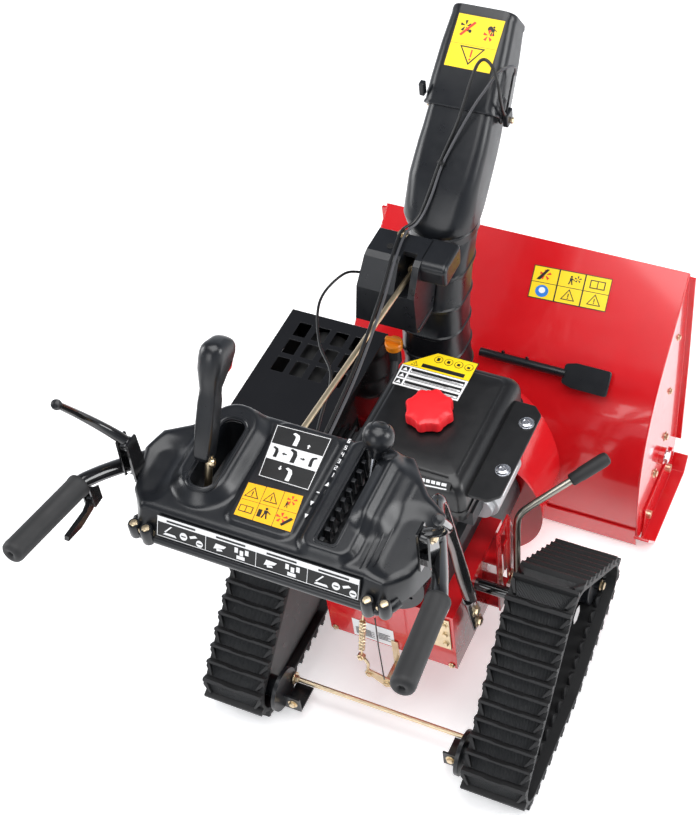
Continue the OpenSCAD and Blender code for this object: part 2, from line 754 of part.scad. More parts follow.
module lever_brackets() {
    p = lever_pivot;
    t = trigger_pivot;
    color([0.08, 0.08, 0.08]) both_sides() difference() {
        union() {
            slab_x([[-425, 905], [-392, 900], [-396, 990], [-422, 990]], 240, 244);
            slab_x([[-425, 915], [-392, 905], [-396, 990], [-422, 990]], 258, 262);
            box([240, -414, 906], [262, -404, 922]);
            cyl_x(240, 262, p.y, p.z, 6, 32);
            slab_x([[-484, 893], [-462, 893], [-462, 936], [-484, 940]], 284, 287);
            slab_x([[-484, 893], [-462, 893], [-462, 936], [-484, 940]], 301, 304);
            cyl_x(284, 304, t.y, t.z, 4, 32);
        }
        bar([200, -262, 858], [299, -480, 945], tube_r + 0.2, 40);
        bar([299, -480, 945], [315, -642, 964.3], tube_r + 0.2, 40);
        translate([299, -480, 945]) sphere(tube_r * 1.04 + 0.3, $fn = 40);
        bar(grip_a, grip_b, grip_r + 0.1, 48);
    }
}

// Bail lever over a grip, for the right hand side
module bail_lever() {
    p = lever_pivot;
    difference() {
        union() {
            cyl_x(245, 257, p.y, p.z, 12, 32);
            bent_bar([[251, p.y, p.z + 6], [251, p.y - 1, p.z + 26], [290, -420, 1030], [303, -440, 1062],
                [305, -470, 1116]], 5);
            translate([305, -470, 1116]) sphere(8, $fn = 32);
        }
        cyl_x(244, 258, p.y, p.z, 6 + run_fit, 32);
    }
}

module steering_trigger() {
    t = trigger_pivot;
    difference() {
        union() {
            cyl_x(289, 299, t.y, t.z, 9, 32);
            slab_x([[t.y, 911], [-500, 898], [-553, 901], [-556, 893], [-520, 884], [-484, 887], [t.y, 894.5]],
                290, 298);
        }
        cyl_x(288, 300, t.y, t.z, 4 + run_fit, 32);
    }
}

module auger_lever() {
    color([0.08, 0.08, 0.08]) mirror([1, 0, 0]) bail_lever();
}
module drive_lever() {
    color([0.08, 0.08, 0.08]) bail_lever();
}
module steering_trigger_left() {
    color([0.08, 0.08, 0.08]) mirror([1, 0, 0]) steering_trigger();
}
module steering_trigger_right() {
    color([0.08, 0.08, 0.08]) steering_trigger();
}

module joystick() {
    color([0.12, 0.12, 0.12]) translate(joy_pivot) rotate([-joy_lean, 0, 0]) difference() {
        union() {
            cyl_x(-9, 9, 0, 0, 11, 32);
            cylinder(h = 150, r = 6, $fn = 32);
            translate([0, 0, 128]) cylinder(h = 24, r1 = 12, r2 = 16, $fn = 32);
            translate([0, 0, 152]) cylinder(h = 92, r = 16, $fn = 32);
            hull() {
                translate([0, -4, 244]) cylinder(h = 10, r = 16, $fn = 32);
                translate([0, -14, 292]) sphere(20, $fn = 32);
                translate([0, 26, 286]) sphere(16, $fn = 32);
            }
        }
        cyl_x(-12, 12, 0, 0, 5 + run_fit, 32);
        translate([0, 34.5, 262]) cube([16.6, 35, 34.6], center = true);
    }
}

module joystick_trigger() {
    color("red") translate(joy_pivot) rotate([-joy_lean, 0, 0])
        translate([0, 33, 262]) cube([16, 20, 34], center = true);
}

module joystick_yoke() {
    p = joy_pivot;
    color("silver") {
        cyl_x(p.x - 17, p.x + 17, p.y, p.z, 5, 32);
        box([p.x - 17, p.y - 14, p.z - 12], [p.x - 11, p.y + 14, p.z + 12]);
        box([p.x + 11, p.y - 14, p.z - 12], [p.x + 17, p.y + 14, p.z + 12]);
        box([p.x - 17, p.y - 24, p.z - 12], [p.x + 17, p.y - 14, p.z + 12]);
        cyl_y(p.y - 52, p.y - 24, p.x, p.z, 6, 32);
    }
}

module speed_lever() {
    color([0.1, 0.1, 0.1]) difference() {
        union() {
            cyl_x(88, 108, speed_pivot.y, speed_pivot.z, 13, 32);
            translate(speed_pivot) rotate([-speed_lean, 3.5, 0]) {
                translate([-3, -8, 10]) cube([6, 16, 172]);
                translate([0, 0, 180]) cylinder(h = 18, r1 = 8, r2 = 14, $fn = 32);
                translate([0, 0, 210]) sphere(24, $fn = 48);
            }
        }
        cyl_x(80, 116, speed_pivot.y, speed_pivot.z, 6 + run_fit, 32);
    }
}

// ---------- chute ----------
// Centre of the fixed column at height z
function column_at(z) = z <= bend_z ? [column_x, column_y, z] :
    [column_x, column_y + bend_r * (1 - cos(asin((z - bend_z) / bend_r))), z];
column_levels = [400, 480, bend_z, 610, 650, 690, 730, 765, chute_turn_z];
function level_circle(r, at) = set_ring(arc([0, 0], r, 0, 350, 35), at, 0);

module chute_column() {
    color([0.12, 0.12, 0.12]) tube_loft(
        [for (z = column_levels) level_circle(column_r, column_at(z))],
        [for (z = column_levels) level_circle(column_r - sheet_t, column_at(z))]);
}

// Stations of the turning chute: height and forward shift above the seam, width, depth, corner radius, lean
chute_stations = [
    [0, 0, 130, 130, 64.9, 0], [14, 0, 130, 130, 64.9, 0], [30, 10, 142, 124, 46, 10],
    [76, 46, 142, 110, 30, 32], [116, 83, 134, 102, 24, 41], [173, 141.4, 124, 98, 20, chute_lean]
];
function chute_ring(s, t) = set_ring(
    round_rect(s[2] - 2 * t, s[3] - 2 * t, s[4] - t),
    [column_x, turn_y + s[1], chute_turn_z + 0.8 + s[0]], s[5]);

module chute_upper() {
    color([0.12, 0.12, 0.12]) tube_loft(
        [for (s = chute_stations) chute_ring(s, 0)],
        [for (s = chute_stations) chute_ring(s, 3)]);
    color([0.12, 0.12, 0.12]) translate([column_x, turn_y, chute_turn_z + 0.8]) difference() {
        cylinder(h = 10, r = 67, $fn = fine);
        translate([0, 0, -1]) cylinder(h = 12, r = 63.2, $fn = fine);
    }
    color("silver") {
        cyl_x(column_x + chute_half - 1, column_x + 84, hinge_y, hinge_z, 5, 32);
        cyl_x(column_x - 74, column_x - chute_half + 1, hinge_y, hinge_z, 5, 32);
        box([column_x + 74, hinge_y - 14, hinge_z - 14], [column_x + 84, hinge_y + 12, hinge_z + 14]);
        slab_x([[hinge_y - 6, hinge_z + 8], [hinge_y + 8, hinge_z], [562, 1024], [550, 1034]],
            column_x + 75, column_x + 79);
    }
}

// Deflector: a channel open to the front, turning about the hinge pins
// Stations: rear edge y and z, width, depth, lean
deflector_stations = [
    [477, 1005, 140, 90, 45], [507, 1035, 138, 88, 46], [556, 1079, 132, 82, 49], [611, 1123, 120, 72, 52]
];
function channel(w, d, t) = concat(
    [[t - w / 2, d]],
    arc([20 - w / 2, 20], 20 - t, 180, 270, 5),
    arc([w / 2 - 20, 20], 20 - t, 270, 360, 5),
    [[w / 2 - t, d]]);
function deflector_rows(t) = [for (s = deflector_stations)
    set_ring(channel(s[2], s[3], t), [column_x, s[0], s[1]], s[4])];

module deflector() {
    color([0.12, 0.12, 0.12]) difference() {
        union() {
            sheet_loft(deflector_rows(0), deflector_rows(4));
            for (x = [column_x - 71.5, column_x + 65.5]) slab_x(concat(
                arc([hinge_y, hinge_z], 14, 160, 300, 10), [[550, 965], [520, 1010], [500, 1000]]), x, x + 6);
            box([column_x - 78, 484, 1003], [column_x - 68, 497, 1030]);
        }
        cyl_x(column_x - 100, column_x + 100, hinge_y, hinge_z, 5 + run_fit, 32);
    }
}

module chute_gearbox() {
    color([0.1, 0.1, 0.1]) difference() {
        union() {
            slab_x([[190, 704], [262, 700], [292, 760], [300, 800], [300, 846], [226, 846], [190, 790]], -164, -44);
            slab_x([[226, 802], [298, 802], [300, 846], [236, 846]], -45, 5);
        }
        box([-92, 180, 776], [-54, 250, 850]);
        box([-92, 249, 776], [-54, 292, 834]);
    }
}

module chute_rod() {
    color("peru") {
        bar(rod_low, rod_high, 5, 64);
        bar(rod_at(247), rod_high, 10);
    }
}

// The two chute cables pass from the fixed part to the turning part at this gap
cable_meet = [-97, 303, 856];
module dash_cables() {
    m = cable_meet;
    color([0.08, 0.08, 0.08]) {
        cord(spline([[-20, -300, 886], [-20, -272, 860], [-26, -236, 852], [-44, -60, 850], [-72, 110, 850],
            [-92, 212, 857], m - [7.4, 18.6, 0.4], m - [0.6, 1.5, 0]], 4), 3);
        cord(spline([[-12, -300, 886], [-12, -272, 860], [-18, -236, 852], [-36, -60, 850], [-64, 110, 850],
            [-84, 211, 857], m + [2, -20.2, -0.4], m + [6.9, -2.7, 0]], 4), 2.5);
        cord(spline([[-168, 240, 775], [-187, 207, 797], [-200, 150, 800], [-190, 98, 800], [-151, 26, 800],
            [-96, -42, 812], [-60, -150, 836], [-34, -240, 850], [-30, -272, 866], [-30, -300, 886]], 4), 2.5);
    }
}

module chute_cables() {
    m = cable_meet;
    color([0.08, 0.08, 0.08]) {
        cord(spline([m + [0.15, 0.4, 0], m + [4, 10, 0.6], [-86, 338, 867], [-80, 361, 892], [-73, 400, 931],
            [-57, 445, 984], [-48, 465, 1022], [-40, 485, 1061], [-31, 499, 1089], [-17, 501, 1098],
            [0, 495, 1085], [12, 484, 1058], [14, 487, 1025], [13.5, 498, 994], [13.5, 506, 983.4]], 3), 3);
        cord(spline([m + [7.5, -0.8, 0], m + [10.5, 9, 0.6], [-80, 336, 867], [-73, 361, 893], [-66, 402, 934],
            [-35, 459, 1008], [-12, 480, 1049], [6, 500, 1076], [20, 514, 1082], [24, 534, 1068],
            [18, 548, 1046], [12, 556.4, 1032.8]], 3), 2.5);
    }
}

module cleanout_tool() {
    color([0.1, 0.1, 0.1]) {
        cyl_x(-40, 140, 451, 397, 9, 32);
        translate([140, 451, 397]) rotate([44, 0, 0]) translate([0, -26, -5]) cube([96, 52, 8]);
    }
}

// Screws and bolts of one kind each, as separate solids on the faces that they clamp
module fasteners() {
    color("goldenrod") {
        for (x = [-1, 1], y = [430, 565]) cyl_x(x > 0 ? half_w + 5 : -half_w - 11, x > 0 ? half_w + 11 : -half_w - 5, y, 48, 9);
        for (y = [16, 132]) translate([188, y, 608]) cylinder(h = 5, r = 11);
        for (x = [-206, -182, 182, 206]) cyl_y(-494, -488, x, 884, 6, 32);
        for (y = [-80, 40]) cyl_x(-frame_half - 6, -frame_half, y, 170, 8, 6);
    }
}

main_frame();
belt_cover();
auger_housing();
side_plates();
impeller_drum();
scraper_bar();
skid_shoes();
fasteners();
auger_gearbox();
drive_belts();
drive_chain();
engine_block();
recoil_cover();
starter_motor();
muffler();
muffler_guard();
fuel_tank();
engine_controls();
handle_tubes();
dash_panel();
grips();
lever_brackets();
chute_column();
chute_gearbox();
dash_cables();
fuel_cap();
oil_cap();
recoil_handle();
choke_knob();
primer_button();
ignition_key();
auger_lever();
drive_lever();
steering_trigger_left();
steering_trigger_right();
joystick();
joystick_yoke();
joystick_trigger();
speed_lever();
chute_rod();
chute_upper();
chute_cables();
deflector();
augers();
auger_shaft();
impeller();
impeller_shaft();
crankshaft();
friction_disc();
friction_wheel();
hex_shaft();
drive_axle();
drive_sprockets();
track_frames();
rear_rod();
track_belts();
rear_idlers();
front_idlers();
track_lever();
cleanout_tool();
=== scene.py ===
"""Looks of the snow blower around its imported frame.

Lengths are millimetres, turned to metres in the meshes; the camera, floor and lamps are in metres.
"""

import json
import math

import bmesh
import bpy
from mathutils import Matrix, Vector


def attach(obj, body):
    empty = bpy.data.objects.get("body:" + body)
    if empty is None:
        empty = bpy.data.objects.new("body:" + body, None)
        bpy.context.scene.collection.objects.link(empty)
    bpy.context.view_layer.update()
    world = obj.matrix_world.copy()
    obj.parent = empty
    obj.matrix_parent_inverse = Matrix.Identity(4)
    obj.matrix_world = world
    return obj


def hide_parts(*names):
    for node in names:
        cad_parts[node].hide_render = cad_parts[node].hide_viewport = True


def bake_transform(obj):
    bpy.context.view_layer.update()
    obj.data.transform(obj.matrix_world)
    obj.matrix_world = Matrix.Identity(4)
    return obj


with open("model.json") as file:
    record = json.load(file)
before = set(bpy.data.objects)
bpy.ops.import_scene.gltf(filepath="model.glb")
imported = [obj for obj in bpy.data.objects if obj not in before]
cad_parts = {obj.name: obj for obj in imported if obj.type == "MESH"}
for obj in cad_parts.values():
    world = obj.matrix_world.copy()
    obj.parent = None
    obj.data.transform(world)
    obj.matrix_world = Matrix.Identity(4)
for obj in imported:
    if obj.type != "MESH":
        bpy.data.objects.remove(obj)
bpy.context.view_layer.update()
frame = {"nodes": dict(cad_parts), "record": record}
nodes = frame["nodes"]
body_of = {n: b for b, group in frame["record"]["behaviour"]["bodies"].items() for n in group}
slot_of = {s["node"]: s["material_slot"] for s in frame["record"]["subparts"]}
MM = 0.001
SIDES = ((-1, "L"), (1, "R"))


def place(name, data):
    """A new object in the scene."""
    obj = bpy.data.objects.new(name, data)
    bpy.context.scene.collection.objects.link(obj)
    return obj


def mesh_of(name, verts, faces):
    """A mesh from points in millimetres."""
    me = bpy.data.meshes.new(name)
    me.from_pydata([Vector(v) * MM for v in verts], [], faces)
    return me


# ---------- camera ----------
LENS = 73.57
CAMERA_AT = (0.93833, -1.68632, 2.88605)
camera_data = bpy.data.cameras.new("camera")
camera_data.lens = LENS
camera_data.sensor_width = 36
camera = place("camera", camera_data)
camera_axes = Matrix(
    ((0.90212, 0.419329, -0.101694), (-0.253995, 0.706601, 0.660455), (0.348805, -0.56998, 0.743947))
)
camera.matrix_world = Matrix.Translation(CAMERA_AT) @ camera_axes.transposed().to_4x4()
bpy.context.scene.camera = camera


# ---------- materials ----------
ROUGH_SPREAD = 0.08


def shader(
    name,
    color,
    rough,
    metal=0.0,
    coat=0.0,
    spread=0.25,
    patch=14.0,
    grain=900.0,
    bump=0.1,
    depth=0.0002,
    ridges=None,
):
    """A procedural material: patchy colour and roughness, and a fine surface grain or ridges."""
    m = bpy.data.materials.new(name)
    m.use_nodes = True
    tree = m.node_tree
    bsdf = tree.nodes["Principled BSDF"]
    bsdf.inputs["Metallic"].default_value = metal
    bsdf.inputs["Coat Weight"].default_value = coat
    bsdf.inputs["Coat Roughness"].default_value = 0.06
    coord = tree.nodes.new("ShaderNodeTexCoord")

    def noise(scale, detail=3.0):
        n = tree.nodes.new("ShaderNodeTexNoise")
        n.inputs["Scale"].default_value = scale
        n.inputs["Detail"].default_value = detail
        tree.links.new(coord.outputs["Object"], n.inputs["Vector"])
        return n.outputs["Fac"]

    mix = tree.nodes.new("ShaderNodeMix")
    mix.data_type = "RGBA"
    mix.inputs["A"].default_value = (*[c * (1 - spread) for c in color], 1)
    mix.inputs["B"].default_value = (*[min(1.0, c * (1 + spread)) for c in color], 1)
    tree.links.new(noise(patch), mix.inputs["Factor"])
    tree.links.new(mix.outputs["Result"], bsdf.inputs["Base Color"])
    span = tree.nodes.new("ShaderNodeMapRange")
    span.inputs["To Min"].default_value = max(0.02, rough - ROUGH_SPREAD)
    span.inputs["To Max"].default_value = min(1.0, rough + ROUGH_SPREAD)
    tree.links.new(noise(patch * 3, 5.0), span.inputs["Value"])
    tree.links.new(span.outputs["Result"], bsdf.inputs["Roughness"])
    if bump:
        if ridges:
            wave = tree.nodes.new("ShaderNodeTexWave")
            wave.wave_profile = "TRI"
            wave.inputs["Scale"].default_value = ridges
            wave.inputs["Distortion"].default_value = 0.0
            turn = tree.nodes.new("ShaderNodeMapping")
            turn.inputs["Rotation"].default_value = (0.6, 0.5, 0.6)
            tree.links.new(coord.outputs["Object"], turn.inputs["Vector"])
            tree.links.new(turn.outputs["Vector"], wave.inputs["Vector"])
            height = wave.outputs["Fac"]
        else:
            height = noise(grain, 2.0)
        b = tree.nodes.new("ShaderNodeBump")
        b.inputs["Strength"].default_value = bump
        b.inputs["Distance"].default_value = depth
        tree.links.new(height, b.inputs["Height"])
        tree.links.new(b.outputs["Normal"], bsdf.inputs["Normal"])
    return m


MATS = {
    "red_paint": shader(
        "red_paint", (0.62, 0.008, 0.012), 0.2, coat=0.7, spread=0.06, grain=300, bump=0.04
    ),
    "black_gloss": shader("black_gloss", (0.006, 0.006, 0.0065), 0.14, coat=0.6, bump=0.03, grain=300),
    "black_plastic": shader(
        "black_plastic", (0.0075, 0.0085, 0.0105), 0.3, grain=1700, bump=0.12, depth=0.0002
    ),
    "tank": shader("tank", (0.006, 0.006, 0.0065), 0.33, grain=2600, bump=0.2, depth=0.0002),
    "rubber": shader(
        "rubber", (0.0105, 0.0105, 0.011), 0.6, spread=0.45, grain=700, bump=0.3, depth=0.0005
    ),
    "tread": shader("tread", (0.013, 0.014, 0.015), 0.5, ridges=150, bump=0.9, depth=0.0016, spread=0.3),
    "zinc": shader("zinc", (0.74, 0.6, 0.4), 0.32, metal=1.0, spread=0.22, patch=60, grain=800, bump=0.08),
    "steel": shader("steel", (0.62, 0.63, 0.66), 0.26, metal=1.0, spread=0.12, patch=50, bump=0.06),
    "cast_grey": shader(
        "cast_grey", (0.045, 0.045, 0.048), 0.5, metal=0.4, grain=500, bump=0.5, depth=0.0006
    ),
    "silver": shader("silver", (0.46, 0.46, 0.47), 0.4, metal=0.55, patch=40, spread=0.08, bump=0.1),
    "orange": shader("orange", (0.95, 0.27, 0.01), 0.35, spread=0.06, bump=0.1),
    "red_plastic": shader("red_plastic", (0.82, 0.018, 0.025), 0.32, spread=0.06, grain=1500, bump=0.12),
    "cable": shader("cable", (0.007, 0.007, 0.007), 0.35, bump=0.1),
    "grey_cable": shader("grey_cable", (0.06, 0.06, 0.065), 0.4, bump=0.1),
    "olive_zinc": shader(
        "olive_zinc", (0.36, 0.34, 0.29), 0.34, metal=1.0, spread=0.35, patch=40, bump=0.08
    ),
    # Near-black matte material: the muffler's own black, and painted shade behind the muffler guard's holes
    # and in the gear cover socket.
    "black_and_painted_shade": shader("black_and_painted_shade", (0.006, 0.006, 0.006), 0.8, bump=0.1),
    "yellow_ink": shader("yellow_ink", (0.95, 0.66, 0.01), 0.35, spread=0.03, bump=0.0),
    "amber_ink": shader("amber_ink", (0.95, 0.47, 0.005), 0.35, spread=0.03, bump=0.0),
    "white_ink": shader("white_ink", (0.85, 0.85, 0.85), 0.35, spread=0.03, bump=0.0),
    "black_ink": shader("black_ink", (0.01, 0.01, 0.01), 0.35, spread=0.03, bump=0.0),
    "red_ink": shader("red_ink", (0.75, 0.04, 0.02), 0.35, spread=0.03, bump=0.0),
    "blue_ink": shader("blue_ink", (0.02, 0.2, 0.65), 0.35, spread=0.03, bump=0.0),
}
for name, obj in nodes.items():
    mat = MATS[slot_of[name]]
    if not obj.material_slots:
        obj.data.materials.append(mat)
    for s in obj.material_slots:
        s.material = mat


# ---------- mesh helpers ----------
def sharpen(me, degrees=35):
    """Smooth faces, with the edges sharper than an angle left hard."""
    bm = bmesh.new()
    bm.from_mesh(me)
    bmesh.ops.recalc_face_normals(bm, faces=bm.faces)
    for f in bm.faces:
        f.smooth = True
    for e in bm.edges:
        e.smooth = len(e.link_faces) == 2 and e.calc_face_angle(0) < math.radians(degrees)
    bm.to_mesh(me)
    bm.free()


def settle(obj, body, replaced=()):
    """Rides a piece on its body and hides the CAD nodes it stands for."""
    if body:
        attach(obj, body)
    if replaced:
        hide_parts(*replaced)
    return obj


def piece(
    name, verts, faces, mat="black_plastic", body="machine", slot=None, replaced=(), smooth=35, bevel=0.0,
    segments=2
):
    """A mesh piece: black plastic on the machine, as in the helpers below, unless a call says otherwise."""
    me = mesh_of(name, verts, faces)
    me.validate()
    me.materials.append(MATS[mat])
    obj = place(name, me)
    sharpen(me, smooth)
    if bevel:
        add_bevel(obj, bevel, segments)
    return settle(obj, body, replaced)


def parts_piece(name, parts, body, replaced=(), smooth=30):
    """One piece from several (points, faces, material) parts."""
    mats = []
    verts, faces, index = [], [], []
    for vs, fs, mat in parts:
        if mat not in mats:
            mats.append(mat)
        base = len(verts)
        verts += vs
        faces += [tuple(base + i for i in f) for f in fs]
        index += [mats.index(mat)] * len(fs)
    me = mesh_of(name, verts, faces)
    for mat in mats:
        me.materials.append(MATS[mat])
    me.polygons.foreach_set("material_index", index)
    obj = place(name, me)
    sharpen(me, smooth)
    return settle(obj, body, replaced)


def add_bevel(obj, width, segments=2, angle=32):
    mod = obj.modifiers.new("edges", "BEVEL")
    mod.width = width * MM
    mod.segments = segments
    mod.limit_method = "ANGLE"
    mod.angle_limit = math.radians(angle)
    normals = obj.modifiers.new("normals", "WEIGHTED_NORMAL")
    normals.keep_sharp = True


def soften(node, width, mat=None):
    """A bevelled copy of a CAD node that stands in its place."""
    me = nodes[node].data.copy()
    bm = bmesh.new()
    bm.from_mesh(me)
    bmesh.ops.remove_doubles(bm, verts=bm.verts, dist=2e-5)
    bmesh.ops.dissolve_limit(bm, angle_limit=math.radians(0.6), verts=bm.verts, edges=bm.edges)
    bm.to_mesh(me)
    bm.free()
    me.materials.clear()
    me.materials.append(MATS[mat or slot_of[node]])
    obj = place(node + "_skin", me)
    sharpen(me, 32)
    for e in me.edges:
        e.use_edge_sharp = False
    add_bevel(obj, width)
    return settle(obj, body_of[node], [node])


def loft(name, rings, mat="black_plastic", body="machine", cap=True, **more):
    """A skin through rings of equal count."""
    m = len(rings[0])
    verts = [v for r in rings for v in r]
    faces = [
        (i * m + j, i * m + (j + 1) % m, (i + 1) * m + (j + 1) % m, (i + 1) * m + j)
        for i in range(len(rings) - 1)
        for j in range(m)
    ]
    if cap:
        faces += [tuple(range(m - 1, -1, -1)), tuple(range((len(rings) - 1) * m, len(rings) * m))]
    return piece(name, verts, faces, mat, body, **more)


def spline(points, steps=8):
    """Smooth points through a few control points."""
    pts = [Vector(p) for p in points]
    out = []
    for i in range(len(pts) - 1):
        a, b, c, d = pts[max(i - 1, 0)], pts[i], pts[i + 1], pts[min(i + 2, len(pts) - 1)]
        for k in range(steps):
            t = k / steps
            out.append(
                0.5 * (
                    2 * b + (c - a) * t + (
                        2 * a - 5 * b + 4 * c - d
                    ) * t**2 + (3 * b - a - 3 * c + d) * t**3
                )
            )
    return out + [pts[-1]]


def tube(name, points, radius, mat="black_plastic", body="machine", sides=20, cap=True, **more):
    """A round bar along points; radius may be one number or one for each point."""
    pts = [Vector(p) for p in points]
    radii = radius if isinstance(radius, (list, tuple)) else [radius] * len(pts)
    side = Vector((0.31, 0.17, 0.94))
    rings = []
    for i, p in enumerate(pts):
        t = (pts[min(i + 1, len(pts) - 1)] - pts[max(i - 1, 0)]).normalized()
        side = (side - side.dot(t) * t).normalized()
        up = t.cross(side)
        rings.append(
            [
                p + radii[i] * (
                    side * math.cos(2 * math.pi * k / sides) + up * math.sin(2 * math.pi * k / sides)
                )
                for k in range(sides)
            ]
        )
    return loft(name, rings, mat, body, cap=cap, **more)


def lathe(name, profile, origin, axis, mat="black_plastic", body="machine", sides=40, **more):
    """A turned piece: profile is (radius, distance along the axis)."""
    a = Vector(axis).normalized()
    s = a.orthogonal().normalized()
    u = a.cross(s)
    o = Vector(origin)
    rings = [
        [
            o + a * h + max(r, 0.01) * (
                s * math.cos(2 * math.pi * k / sides) + u * math.sin(2 * math.pi * k / sides)
            )
            for k in range(sides)
        ]
        for r, h in profile
    ]
    return loft(name, rings, mat, body, **more)


def corners(cx, cy, hx, hy):
    """A rectangle from its middle and its half sizes."""
    return [(cx - hx, cy - hy), (cx + hx, cy - hy), (cx + hx, cy + hy), (cx - hx, cy + hy)]


def hub(inner, outer, low, high):
    """The closed profile of a plain ring."""
    return [(inner, low), (outer, low), (outer, high), (inner, high), (inner, low)]


def across(outline, *xs):
    """An outline in y and z, repeated at each x."""
    return [[(x, y, z) for y, z in outline] for x in xs]


def rounded(points, r, n=6):
    """A plan polygon with its corners rounded."""
    out = []
    count = len(points)
    for i in range(count):
        p = Vector(points[i])
        a = (Vector(points[i - 1]) - p).normalized()
        b = (Vector(points[(i + 1) % count]) - p).normalized()
        half = a.angle(b) / 2
        reach = min(
            r / math.tan(half),
            0.45 * min((Vector(points[i - 1]) - p).length, (Vector(points[(i + 1) % count]) - p).length)
        )
        rr = reach * math.tan(half)
        centre = p + (a + b).normalized() * rr / math.sin(half)
        start = p + a * reach - centre
        end = p + b * reach - centre
        sweep = start.angle_signed(end)
        for k in range(n + 1):
            out.append(centre + Matrix.Rotation(-sweep * k / n, 2) @ start)
    return out


def block(name, lo, hi, mat="black_plastic", body="machine", bevel=1.5, segments=3, **more):
    """A box with rounded edges."""
    c = (Vector(lo) + Vector(hi)) / 2
    h = (Vector(hi) - Vector(lo)) / 2
    verts = [c + Vector((h.x * x, h.y * y, h.z * z)) for x in (-1, 1) for y in (-1, 1) for z in (-1, 1)]
    faces = [(0, 1, 3, 2), (4, 6, 7, 5), (0, 4, 5, 1), (2, 3, 7, 6), (0, 2, 6, 4), (1, 5, 7, 3)]
    return piece(name, verts, faces, mat, body, bevel=bevel, segments=segments, **more)


def bolt(name, at, axis, r, body="machine", washer=True):
    """A hexagon head with a chamfered top on a round washer."""
    if washer:
        lathe(
            name + "_washer", [(0, 0), (r * 1.45, 0), (r * 1.5, 0.4), (r * 1.45, 1.4), (0, 1.4)], at, axis,
            "zinc", body
        )
    base = Vector(at) + Vector(axis).normalized() * 1.2
    lathe(
        name, [(0, 0), (r, 0), (r, r * 0.62), (r * 0.86, r * 0.72), (0, r * 0.72)], base, axis, "zinc",
        body, sides=6
    )


